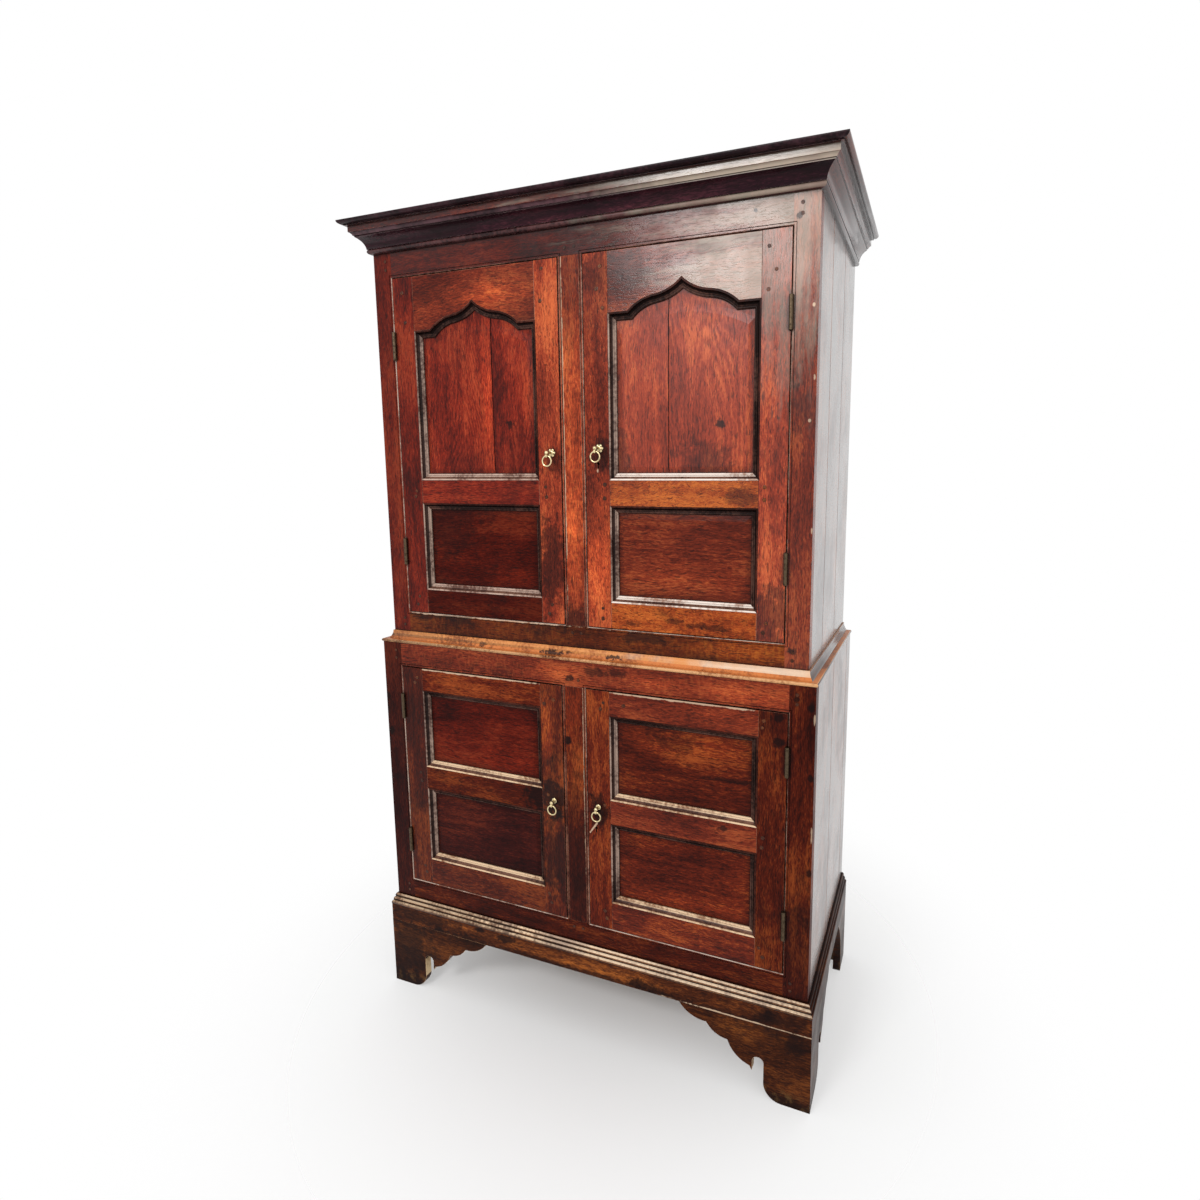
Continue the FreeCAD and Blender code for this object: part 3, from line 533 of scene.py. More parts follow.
@dataclass(frozen=True)
class Oak:
    """Old polished oak, with its clouds, streaks, flecks, pores, stains and scuffs, and dirt with painted
    shade in its corners.
    """

    name: str
    tone: Tone
    grain: Grain
    lift: float = 1.0
    seed: float = 0.0
    figure: float = 0.35
    flame: float = 0.0
    stain: float = 0.5
    grime_and_shade: float = 0.8
    scuff: float = 0.0
    roughness: float = 0.34
    shine: float = 0.1
    coat: float = 0.0
    curl: float = 0.5
    contrast: float = 1.0
    marks: tuple[Mark, ...] = ()

    CLOUD: ClassVar[Layer] = Layer(8.0, 0.45, 4.0, 0.6)
    STREAK: ClassVar[Layer] = Layer(60.0, 0.07, 3.0, 0.6)
    FLECK: ClassVar[Layer] = Layer(460.0, 0.17, 3.0, 0.68)
    PORES: ClassVar[Layer] = Layer(440.0, 0.09, 1.0)
    HILLS: ClassVar[Layer] = Layer(9.0, 0.17, 1.0, 0.4)
    RIPPLE: ClassVar[Layer] = Layer(60.0, 2.6, 3.0, 0.55)
    PATCHES: ClassVar[Layer] = Layer(7.0, 1.0, 5.0, 0.62)
    SPECK: ClassVar[Layer] = Layer(46.0, 1.0, 4.0, 0.65)
    PLANING: ClassVar[Layer] = Layer(11.0)
    BRIGHTEST: ClassVar[float] = 0.95
    SEED_SHIFT: ClassVar[tuple[float, ...]] = (1.0, 0.37, 0.61)
    BEND: ClassVar[tuple[float, float]] = (4.0, 0.03)
    CURL: ClassVar[tuple[float, float]] = (44.0, 0.014)
    CLOUD_WEIGHT: ClassVar[float] = 0.38
    STREAK_WEIGHT: ClassVar[float] = 0.21
    FLECK_WEIGHT: ClassVar[float] = 0.32
    RING_WEIGHT: ClassVar[float] = 0.028
    RING_COUNT: ClassVar[float] = 210.0
    MIDDLE: ClassVar[float] = 0.46
    SPREAD: ClassVar[float] = 0.14
    STOPS: ClassVar[tuple[float, ...]] = (0.0, 0.5, 1.0)
    RIPPLE_SPAN: ClassVar[tuple[float, float]] = (0.46, 0.64)
    RIPPLE_PATCHES: ClassVar[tuple[float, ...]] = (0.36, 0.6, 0.25, 1.0)
    PORE_SPAN: ClassVar[tuple[float, float]] = (0.54, 0.68)
    PORE_DEPTH: ClassVar[float] = 0.6
    STAIN_SPAN: ClassVar[tuple[float, float]] = (0.54, 0.70)
    SCUFF_SPAN: ClassVar[tuple[float, float]] = (0.48, 0.66)
    SCUFF_DEPTH: ClassVar[float] = 0.6
    WAVE_STRENGTH: ClassVar[float] = 0.35
    WAVE_HEIGHT: ClassVar[float] = 2.0
    FLECK_RELIEF: ClassVar[float] = 0.5
    PORE_RELIEF: ClassVar[float] = -0.6
    PORE_EDGE: ClassVar[tuple[float, float]] = (0.55, 0.66)
    FINE_STRENGTH: ClassVar[float] = 0.25
    FINE_HEIGHT: ClassVar[float] = 0.4
    GLOSS_SPAN: ClassVar[tuple[float, float]] = (0.4, 0.7)
    GLOSS_CHANGE: ClassVar[tuple[float, float]] = (-0.05, 0.1)
    COAT_ROUGHNESS: ClassVar[float] = 0.12
    GRIME_AND_SHADE_REACH: ClassVar[float] = 38.0

    def layer(self, graph: Graph, place: Any, layer: Layer) -> bpy.types.NodeSocket:
        """Add one layer of noise, drawn out along the fibres.

        Args:
            graph: Graph of the material.
            place: Socket of the place.
            layer: Sizes of the layer.

        Returns:
            The socket of the noise.
        """
        scale = [1.0, 1.0, 1.0]
        scale[self.grain.value] = layer.along
        return layer.noise(graph, graph.vector("MULTIPLY", place, tuple(scale)))

    def lifted(self) -> list[Colour]:
        """Give the dark, middle and light shade at this piece's brightness."""
        return [tuple(min(part * self.lift, self.BRIGHTEST) for part in one) for one in self.tone.value]

    def curled(self, graph: Graph, own: Any) -> bpy.types.NodeSocket:
        """Shift the place for this piece, and bend its fibres.

        Args:
            graph: Graph of the material.
            own: Socket of the place on the cupboard.

        Returns:
            The socket of the place in the oak.
        """
        place = graph.vector("ADD", own, tuple(part * self.seed for part in self.SEED_SHIFT))
        place = graph.wandering(place, *self.BEND)
        scale, reach = self.CURL
        return graph.wandering(place, scale, reach * self.curl)

    def figured(self, graph: Graph, place: Any, streak: Any, fleck: Any) -> bpy.types.NodeSocket:
        """Colour the oak by its clouds, streaks, flecks and year rings.

        Args:
            graph: Graph of the material.
            place: Socket of the place in the oak.
            streak: Socket of the streaks.
            fleck: Socket of the flecks.

        Returns:
            The socket of the colour.
        """
        cloud = self.layer(graph, place, self.CLOUD)
        hills = self.layer(graph, place, self.HILLS)
        rings = graph.math("SINE", graph.math("MULTIPLY", hills, self.RING_COUNT))
        tone = graph.weighed((cloud, self.CLOUD_WEIGHT), (streak, self.STREAK_WEIGHT),
                             (fleck, self.FLECK_WEIGHT), (rings, self.RING_WEIGHT * self.figure))
        half = self.SPREAD / self.contrast
        share = graph.span(tone, self.MIDDLE - half, self.MIDDLE + half)
        return graph.ramp(share, zip(self.STOPS, self.lifted()))

    def flamed(self, graph: Graph, place: Any, patches: Any, colour: Any) -> bpy.types.NodeSocket:
        """Lay light ripples across the fibres.

        Args:
            graph: Graph of the material.
            place: Socket of the place in the oak.
            patches: Socket of the patches that the ripples keep to.
            colour: Colour so far.

        Returns:
            The socket of the rippled colour.
        """
        ripple = graph.span(self.layer(graph, place, self.RIPPLE), *self.RIPPLE_SPAN)
        share = graph.math("MULTIPLY", ripple, graph.span(patches, *self.RIPPLE_PATCHES))
        light = self.lifted()[-1]
        return graph.blend(graph.math("MULTIPLY", share, self.flame), colour, light)

    def scuffed(self, graph: Graph, own: Any, speck: Any, colour: Any) -> bpy.types.NodeSocket:
        """Rub the polish off near the floor.

        Args:
            graph: Graph of the material.
            own: Socket of the place on the cupboard.
            speck: Socket of the specks that the scuffs keep to.
            colour: Colour so far.

        Returns:
            The socket of the scuffed colour.
        """
        height = graph.add("ShaderNodeSeparateXYZ", {0: own}).outputs["Z"]
        near_floor = graph.span(height, self.scuff * MM, 0.0)
        low = graph.math("MULTIPLY", near_floor, graph.span(speck, *self.SCUFF_SPAN))
        return graph.blend(graph.math("MULTIPLY", low, self.SCUFF_DEPTH), colour, RUBBED)

    def planed(self, graph: Graph, own: Any, fleck: Any, pores: Any) -> bpy.types.NodeSocket:
        """Give the surface its hand planed waves and open pores.

        Args:
            graph: Graph of the material.
            own: Socket of the place on the cupboard.
            fleck: Socket of the flecks.
            pores: Socket of the pores.

        Returns:
            The socket of the normal.
        """
        planing = self.layer(graph, own, self.PLANING)
        waves = graph.relief(planing, self.WAVE_STRENGTH, self.WAVE_HEIGHT)
        height = graph.weighed((fleck, self.FLECK_RELIEF),
                               (graph.span(pores, *self.PORE_EDGE), self.PORE_RELIEF))
        return graph.relief(height, self.FINE_STRENGTH, self.FINE_HEIGHT, waves)

    def material(self) -> bpy.types.Material:
        """Make the oak.

        Returns:
            The material.
        """
        made, graph = empty_material(self.name)
        own = graph.own_place()
        place = self.curled(graph, own)
        streak, fleck, pores, patches, speck = (
            self.layer(graph, place, layer)
            for layer in (self.STREAK, self.FLECK, self.PORES, self.PATCHES, self.SPECK))
        colour = self.figured(graph, place, streak, fleck)
        if self.flame:
            colour = self.flamed(graph, place, patches, colour)
        colour = graph.blend(graph.span(pores, *self.PORE_SPAN, 0.0, self.PORE_DEPTH), colour, DIRT_AND_SHADE)
        colour = graph.blend(graph.span(patches, *self.STAIN_SPAN, 0.0, self.stain), colour, DIRT_AND_SHADE)
        colour = marked(graph, self.marks, own, speck, streak, colour)
        if self.scuff:
            colour = self.scuffed(graph, own, speck, colour)
        # Dirt and painted shade in the corners.
        if self.grime_and_shade:
            colour = graph.grimed_and_shaded(colour, self.grime_and_shade, self.GRIME_AND_SHADE_REACH)
        gloss = graph.span(patches, *self.GLOSS_SPAN, *(self.roughness + part for part in self.GLOSS_CHANGE))
        shader = graph.add("ShaderNodeBsdfPrincipled", {
            "Base Color": colour, "Roughness": gloss, "Normal": self.planed(graph, own, fleck, pores),
            "Specular IOR Level": self.shine, "Coat Weight": self.coat,
            "Coat Roughness": self.COAT_ROUGHNESS})
        graph.add("ShaderNodeOutputMaterial", {"Surface": shader.outputs[0]})
        return made


@dataclass(frozen=True)
class WornLine:
    """Bead, fillet or edge rubbed smooth: pale where it is worn, deep where polish and dirt are left; many
    are set up as lit or shaded copies, which is painted light.
    """

    name: str
    pale: Colour
    deep: Colour
    worn: float = 0.6
    grime_and_shade: float = 0.5
    roughness: float = 0.32
    shine: float = 0.2
    marks: tuple[Mark, ...] = ()

    SLOW: ClassVar[Layer] = Layer(9.0, detail=3.0, rough=0.6)
    FINE: ClassVar[Layer] = Layer(150.0)
    SLOW_WEIGHT: ClassVar[float] = 0.65
    FINE_WEIGHT: ClassVar[float] = 0.35
    UNWORN: ClassVar[float] = 0.62
    WEAR: ClassVar[float] = 0.24
    SPREAD: ClassVar[float] = 0.11
    RELIEF_STRENGTH: ClassVar[float] = 0.2
    RELIEF_HEIGHT: ClassVar[float] = 0.3
    GLOSS_SPAN: ClassVar[tuple[float, float]] = (0.3, 0.7)
    GLOSS_CHANGE: ClassVar[float] = 0.1
    GRIME_AND_SHADE_REACH: ClassVar[float] = 5.0

    def material(self) -> bpy.types.Material:
        """Make the worn line.

        Returns:
            The material.
        """
        made, graph = empty_material(self.name)
        own = graph.own_place()
        slow = self.SLOW.noise(graph, own)
        fine = self.FINE.noise(graph, own)
        middle = self.UNWORN - self.WEAR * self.worn
        rubbed = graph.weighed((slow, self.SLOW_WEIGHT), (fine, self.FINE_WEIGHT))
        share = graph.span(rubbed, middle - self.SPREAD, middle + self.SPREAD)
        colour = graph.blend(share, self.deep, self.pale)
        colour = marked(graph, self.marks, own, fine, slow, colour)
        # Dirt and painted shade in the corners.
        colour = graph.grimed_and_shaded(colour, self.grime_and_shade, self.GRIME_AND_SHADE_REACH)
        gloss = graph.span(fine, *self.GLOSS_SPAN, self.roughness, self.roughness + self.GLOSS_CHANGE)
        shader = graph.add("ShaderNodeBsdfPrincipled", {
            "Base Color": colour, "Roughness": gloss, "Specular IOR Level": self.shine,
            "Normal": graph.relief(fine, self.RELIEF_STRENGTH, self.RELIEF_HEIGHT)})
        graph.add("ShaderNodeOutputMaterial", {"Surface": shader.outputs[0]})
        return made


@dataclass(frozen=True)
class Metal:
    """Worn metal with tarnish in its hollows."""

    name: str
    bright: Colour
    tarnish: Colour
    roughness: float

    CLOUD: ClassVar[Layer] = Layer(160.0, detail=4.0, rough=0.6)
    PITS: ClassVar[Layer] = Layer(900.0)
    CLOUD_SPAN: ClassVar[tuple[float, ...]] = (0.48, 0.68, 0.0, 0.6)
    HOLLOW_SPAN: ClassVar[tuple[float, float]] = (0.8, 0.3)
    RELIEF_STRENGTH: ClassVar[float] = 0.2
    RELIEF_HEIGHT: ClassVar[float] = 0.2
    GLOSS_SPAN: ClassVar[tuple[float, float]] = (0.3, 0.7)
    GLOSS_CHANGE: ClassVar[float] = 0.2
    TARNISH_REACH: ClassVar[float] = 6.0

    def material(self) -> bpy.types.Material:
        """Make the metal.

        Returns:
            The material.
        """
        made, graph = empty_material(self.name)
        own = graph.own_place()
        cloud = self.CLOUD.noise(graph, own)
        pits = self.PITS.noise(graph, own)
        hollows = graph.span(graph.corners(self.TARNISH_REACH), *self.HOLLOW_SPAN)
        dull = graph.math("MAXIMUM", graph.span(cloud, *self.CLOUD_SPAN), hollows)
        gloss = graph.span(cloud, *self.GLOSS_SPAN, self.roughness, self.roughness + self.GLOSS_CHANGE)
        shader = graph.add("ShaderNodeBsdfPrincipled", {
            "Base Color": graph.blend(dull, self.bright, self.tarnish), "Metallic": 1.0,
            "Roughness": gloss,
            "Normal": graph.relief(pits, self.RELIEF_STRENGTH, self.RELIEF_HEIGHT)})
        graph.add("ShaderNodeOutputMaterial", {"Surface": shader.outputs[0]})
        return made


@dataclass(frozen=True)
class PaleFloor:
    """Plain pale floor that fades into the white ground away from the cupboard."""

    name: str = "pale_floor"
    colour: Colour = (0.93, 0.93, 0.93)
    cloudy: Colour = (0.8, 0.8, 0.8)
    fade_start: float = 0.05
    fade_end: float = 1.2
    roughness: float = 0.9
    shine: float = 0.1

    CLOUD: ClassVar[Layer] = Layer(3.0, detail=3.0)
    CLOUD_SPAN: ClassVar[tuple[float, ...]] = (0.3, 0.7, 0.0, 0.03)

    def material(self) -> bpy.types.Material:
        """Make the floor's material.

        Returns:
            The material.
        """
        made, graph = empty_material(self.name)
        own = graph.own_place()
        cloud = self.CLOUD.noise(graph, own)
        tint = graph.blend(graph.span(cloud, *self.CLOUD_SPAN), self.colour, self.cloudy)
        pale = graph.add("ShaderNodeBsdfPrincipled", {
            "Base Color": tint, "Roughness": self.roughness, "Specular IOR Level": self.shine})
        clear = graph.add("ShaderNodeBsdfTransparent")
        share = graph.span(graph.length(own), self.fade_start, self.fade_end)
        mixed = graph.add("ShaderNodeMixShader", {0: share, 1: pale.outputs[0], 2: clear.outputs[0]})
        graph.add("ShaderNodeOutputMaterial", {"Surface": mixed.outputs[0]})
        return made


@dataclass
class Palette:
    """Materials of the finishes in use, each made once."""

    made: dict[str, bpy.types.Material] = field(default_factory=dict)

    def of(self, finish: Finish) -> bpy.types.Material:
        """Give the material of a finish.

        Args:
            finish: Finish to look up.

        Returns:
            Its material.
        """
        if finish.name not in self.made:
            self.made[finish.name] = finish.material()
        return self.made[finish.name]


# Paler eased edges: wear, together with a painted highlight line along each edge.
EDGE = WornLine("worn_and_lit_edge", shade(168, 112, 88), shade(80, 34, 24), 0.5)
PALE_EDGE = WornLine("pale_edge", shade(200, 158, 116), shade(92, 58, 36), 0.5)
# Lit, half lit and shaded copies of the beads: painted light on their slopes, over the wear.
BEAD_LIT = WornLine("bead_lit", shade(222, 196, 178), shade(140, 92, 74), 0.6)
BEAD_HALF_LIT = WornLine("bead_half_lit", shade(184, 152, 134), shade(100, 62, 50), 0.5)
BEAD_DIM = WornLine("bead_dim", shade(140, 96, 80), shade(54, 26, 21), 0.45)
# Lit, half lit and shaded copies of the hollows and lines of the mouldings: painted light over the wear, lit
# on the bottom runs, half lit on the left, shaded on the right and top.
HOLLOW_LIT = WornLine("hollow_lit", shade(116, 80, 64), shade(60, 34, 27), 0.5)
HOLLOW_HALF_LIT = WornLine("hollow_half_lit", shade(56, 37, 31), shade(26, 14, 12), 0.45, shine=0.1)
HOLLOW_SHADED = WornLine("hollow_shaded", shade(28, 14, 12), shade(12, 6, 5), 0.4, grime_and_shade=0.8, shine=0.04)
LINE_SHADED = WornLine("line_shaded", shade(74, 36, 27), shade(34, 14, 11), 0.4, grime_and_shade=0.7, shine=0.06)
LINE_DIM = WornLine("line_dim", shade(84, 56, 47), shade(30, 16, 13), 0.4, grime_and_shade=0.6, shine=0.08)
LINE_HALF_LIT = WornLine("line_half_lit", shade(156, 132, 118), shade(70, 45, 37), 0.5)
LINE_LIT_WHITE = WornLine("line_lit_white", shade(234, 218, 206), shade(156, 116, 96), 0.75)
LINE_LIT_SOFT = WornLine("line_lit_soft", shade(188, 160, 144), shade(98, 62, 50), 0.6)
LINE_LIT_CREAM = WornLine("line_lit_cream", shade(226, 194, 158), shade(132, 88, 60), 0.7)
PEG = Oak("peg_oak", Tone.UMBER, Grain.DEEP, lift=0.8, stain=0.6, shine=0.2)
INSIDE_UP = Oak("inside_up", Tone.DRY, Grain.UP, lift=0.6, seed=21.0, stain=0.3, roughness=0.6)
INSIDE_ACROSS = Oak("inside_across", Tone.DRY, Grain.ACROSS, lift=0.55, seed=22.0, stain=0.3, roughness=0.6)
INSIDE_PANEL = Oak("inside_panel", Tone.DRY, Grain.UP, lift=0.7, seed=23.0, stain=0.3, roughness=0.6)
BRASS = Metal("ring_brass", shade(222, 204, 160), shade(104, 84, 48), 0.24)
HINGE = Metal("hinge_metal", shade(88, 74, 58), shade(34, 26, 20), 0.4)
LOCK_IRON = Metal("lock_iron", shade(74, 68, 62), shade(34, 28, 24), 0.5)


def everywhere(centre: Vector, normal: Vector) -> int:
    """Give every face the first finish."""
    return 0


@dataclass
class Dressing:
    """Finishes of one solid of the frame, chosen face by face, with its edges eased."""

    node: str
    finishes: tuple[Finish, ...]
    choose: Chooser = everywhere
    edge: Finish | None = EDGE
    rounding: float = 0.8
    inside: Finish | None = None

    BEHIND: ClassVar[float] = 0.7
    WELD_REACH: ClassVar[float] = 0.01
    SHARP_ANGLE: ClassVar[float] = 35.0
    EASE_SEGMENTS: ClassVar[int] = 2

    def apply(self, nodes: dict[str, bpy.types.Object], palette: Palette) -> None:
        """Put the finishes on the solid.

        Args:
            nodes: Solids of the frame.
            palette: Materials.
        """
        solid = nodes[self.node]
        mesh = solid.data
        finishes = list(self.finishes)
        faces = [self.choose(face.center / MM, face.normal) for face in mesh.polygons]
        if self.inside is not None:
            faces = [len(finishes) if face.normal.y > self.BEHIND else chosen
                     for face, chosen in zip(mesh.polygons, faces)]
            finishes.append(self.inside)
        if self.edge is not None:
            self.ease_edges(solid, len(finishes))
            finishes.append(self.edge)
        mesh.materials.clear()
        for finish in finishes:
            mesh.materials.append(palette.of(finish))
        mesh.polygons.foreach_set("material_index", faces)
        log.info("dressed %s", self.node)

    def ease_edges(self, solid: bpy.types.Object, finish: int) -> None:
        """Round the sharp edges of a solid a little and give them the edge finish.

        Args:
            solid: Solid to ease.
            finish: Number of the edge finish on the solid.
        """
        weld = solid.modifiers.new("weld", "WELD")
        weld.merge_threshold = self.WELD_REACH * MM
        ease = solid.modifiers.new("ease", "BEVEL")
        ease.width = self.rounding * MM
        ease.segments = self.EASE_SEGMENTS
        ease.limit_method = "ANGLE"
        ease.angle_limit = math.radians(self.SHARP_ANGLE)
        ease.harden_normals = True
        ease.material = finish


@dataclass
class FrontFrame:
    """Stiles, rails and muntin of one case, with the scratch bead round its openings."""

    case: Case
    left_stile: Oak
    right_stile: Oak
    top_rail: Oak
    bottom_rail: Oak
    muntin: Oak

    TOP_RAILS: ClassVar[dict[Case, str]] = {Case.UPPER: "upper_frieze_rail", Case.LOWER: "lower_top_rail"}
    BEADS: ClassVar[tuple[Finish, ...]] = (BEAD_LIT, BEAD_HALF_LIT, BEAD_DIM)
    SQUARE: ClassVar[float] = 0.97
    SLOPE: ClassVar[float] = 0.2

    def bead(self, normal: Vector) -> int | None:
        """Tell the slopes of the bead apart by the way they face the light, for its lit, half lit and shaded
        copies, which are painted light.

        Args:
            normal: Normal of a face.

        Returns:
            Number of the bead's finish, or None where the face lies square to an axis.
        """
        if max(abs(part) for part in normal) > self.SQUARE:
            return None
        if normal.z > self.SLOPE or normal.x > self.SLOPE:
            return 0
        return 1 if normal.x < -self.SLOPE else 2

    def dressings(self) -> list[Dressing]:
        """List the dressings of the frame.

        Returns:
            One dressing for each solid.
        """
        def stiles(centre: Vector, normal: Vector) -> int:
            """Choose by the side, and the bead by its slope.

            Args:
                centre: Middle of the face.
                normal: Normal of the face.

            Returns:
                Number of the finish.
            """
            bead = self.bead(normal)
            if bead is not None:
                return 2 + bead
            return 0 if centre.x < 0 else 1

        def beaded(centre: Vector, normal: Vector) -> int:
            """Choose the bead by its slope."""
            bead = self.bead(normal)
            return 0 if bead is None else 1 + bead

        case = self.case.value
        both = (self.left_stile, self.right_stile, *self.BEADS)
        return [
            Dressing(f"{case}_front_stiles", both, stiles, inside=INSIDE_UP),
            Dressing(self.TOP_RAILS[self.case], (self.top_rail, *self.BEADS), beaded, inside=INSIDE_ACROSS),
            Dressing(f"{case}_bottom_rail", (self.bottom_rail, *self.BEADS), beaded, inside=INSIDE_ACROSS),
            Dressing(f"{case}_muntin", (self.muntin, *self.BEADS), beaded, inside=INSIDE_UP),
        ]


class Run(Enum):
    """Side of a panel that a length of moulding runs along."""

    BOTTOM = 0
    LEFT = 1
    RIGHT = 2
    TOP = 3


@dataclass(frozen=True)
class PanelOpening:
    """Edges of one panel's opening in a door, up to the shoulders of an arch, in millimetres."""

    left: float
    right: float
    bottom: float
    top: float

    def run(self, centre: Vector) -> Run:
        """Tell which run of moulding a face belongs to, by the nearest edge.

        Args:
            centre: Middle of the face.

        Returns:
            The run.
        """
        away = {Run.BOTTOM: centre.z - self.bottom, Run.LEFT: centre.x - self.left,
                Run.RIGHT: self.right - centre.x, Run.TOP: self.top - centre.z}
        return min(away, key=away.get)


@dataclass
class Door:
    """One door: stiles, rails, panels, mouldings and pegs."""

    case: Case
    side: Side
    front: float
    high: PanelOpening
    low: PanelOpening
    lock_stile: Oak
    hinge_stile: Oak
    top_rail: Oak
    mid_rail: Oak
    bottom_rail: Oak
    high_panel: Oak
    low_panel: Oak
    # Fillet and bead of the bottom runs, a lit copy: painted highlight over the wear.
    line: WornLine
    second_board: Oak | None = None
    board_joint: float = 0.0
    pegs: tuple[tuple[float, float], ...] = ()

    FILLET_DEPTH: ClassVar[float] = 1.5
    BEAD_DEPTH: ClassVar[float] = 7.2
    MOULDING_WIDTH: ClassVar[float] = 15.0
    MEMBERS: ClassVar[int] = 3
    PEG_SIDES: ClassVar[int] = 10
    PEG_DEPTH: ClassVar[float] = 3.0
    PEG_RADII: ClassVar[tuple[float, float]] = (3.6, 4.8)
    PEG_PROUD: ClassVar[tuple[float, float]] = (0.3, 0.9)
    PEG_TOP: ClassVar[float] = 0.78
    PEG_SWAY: ClassVar[float] = 0.2
    PEG_ROUND: ClassVar[tuple[float, float]] = (0.88, 1.1)

    @property
    def name(self) -> str:
        """Name of the door's body."""
        return f"{self.case.value}_{self.side.value}_door"

    @property
    def middle(self) -> float:
        """Height of the middle of the mid rail."""
        return (self.high.bottom + self.low.top) / 2

    def stile_finish(self, centre: Vector, normal: Vector) -> int:
        """Choose the lock stile by its nearness to the muntin."""
        return 0 if abs(centre.x) < abs(self.high.left + self.high.right) / 2 else 1

    def rail_finish(self, centre: Vector, normal: Vector) -> int:
        """Choose the rail by its height.

        Args:
            centre: Middle of the face.
            normal: Normal of the face.

        Returns:
            Number of the finish.
        """
        if centre.z > self.high.bottom + self.MOULDING_WIDTH:
            return 0
        return 2 if centre.z < self.low.top - self.MOULDING_WIDTH else 1

    def panel_finish(self, centre: Vector, normal: Vector) -> int:
        """Choose the panel by its height, and its second board by the joint.

        Args:
            centre: Middle of the face.
            normal: Normal of the face.

        Returns:
            Number of the finish.
        """
        if centre.z < self.middle:
            return 1
        return 2 if self.second_board and centre.x > self.board_joint else 0

    def moulding_finish(self, centre: Vector, normal: Vector) -> int:
        """Choose by the run, which carries a lit, half lit or shaded copy as painted light, and within it the
        fillet, the hollow or the bead by its depth.

        Args:
            centre: Middle of the face.
            normal: Normal of the face.

        Returns:
            Number of the finish.
        """
        run = (self.high if centre.z > self.middle else self.low).run(centre)
        depth = centre.y - self.front
        member = 0 if depth <= self.FILLET_DEPTH else 1 if depth < self.BEAD_DEPTH else 2
        return self.MEMBERS * run.value + member

    def moulding_finishes(self) -> tuple[Finish, ...]:
        """Give the fillet, the hollow and the bead of each run, as painted light: lit on the bottom, half lit
        on the left, shaded on the right and the top.
        """
        return (self.line, HOLLOW_LIT, self.line, LINE_HALF_LIT, HOLLOW_HALF_LIT, LINE_HALF_LIT,
                LINE_SHADED, HOLLOW_SHADED, LINE_DIM, LINE_SHADED, HOLLOW_SHADED, LINE_DIM)

    def dressings(self) -> list[Dressing]:
        """List the dressings of the door.

        Returns:
            One dressing for each solid.
        """
        panels = (self.high_panel, self.low_panel) + ((self.second_board,) if self.second_board else ())
        rails = (self.top_rail, self.mid_rail, self.bottom_rail)
        return [
            Dressing(self.name + "_stiles", (self.lock_stile, self.hinge_stile), self.stile_finish,
                     inside=INSIDE_UP),
            Dressing(self.name + "_rails", rails, self.rail_finish, inside=INSIDE_ACROSS),
            Dressing(self.name + "_panels", panels, self.panel_finish, None, inside=INSIDE_PANEL),
            Dressing(self.name + "_mouldings", self.moulding_finishes(), self.moulding_finish, None),
            Dressing(self.name + "_hinge_leaves", (HINGE,), everywhere, None),
        ]

    def build_pegs(self, palette: Palette, draw: random.Random) -> None:
        """Build the hand cut pegs of the door's joints, as one piece that rides on the door.

        Args:
            palette: Materials.
            draw: Source of the small differences.
        """
        mesh = bmesh.new()
        for x, z in self.pegs:
            self.build_peg(mesh, x, z, draw)
        bmesh.ops.recalc_face_normals(mesh, faces=mesh.faces)
        data = bpy.data.meshes.new(self.name + "_pegs")
        mesh.to_mesh(data)
        mesh.free()
        piece = bpy.data.objects.new(self.name + "_pegs", data)
        bpy.context.scene.collection.objects.link(piece)
        data.materials.append(palette.of(PEG))
        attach(piece, self.name)
        log.info("built %s", piece.name)

    def build_peg(self, mesh: bmesh.types.BMesh, x: float, z: float, draw: random.Random) -> None:
        """Build one peg, out of round and a little proud.

        Args:
            mesh: Mesh to build in.
            x: Place across the front.
            z: Height.
            draw: Source of the small differences.
        """
        radius = draw.uniform(*self.PEG_RADII)
        proud = draw.uniform(*self.PEG_PROUD)
        step = 2 * math.pi / self.PEG_SIDES
        turns = [step * (i + draw.uniform(-self.PEG_SWAY, self.PEG_SWAY)) for i in range(self.PEG_SIDES)]
        sizes = [radius * draw.uniform(*self.PEG_ROUND) for _ in turns]
        rings = []
        for share, y in ((1.0, self.PEG_DEPTH), (1.0, -proud / 2), (self.PEG_TOP, -proud)):
            rings.append([mesh.verts.new(((x + share * size * math.cos(turn)) * MM,
                                          (self.front + y) * MM,
                                          (z + share * size * math.sin(turn)) * MM))
                          for turn, size in zip(turns, sizes)])
        for near, far in zip(rings, rings[1:]):
            for i in range(self.PEG_SIDES):
                j = (i + 1) % self.PEG_SIDES
                mesh.faces.new((near[i], near[j], far[j], far[i]))
        mesh.faces.new(rings[-1])
        mesh.faces.new(list(reversed(rings[0])))


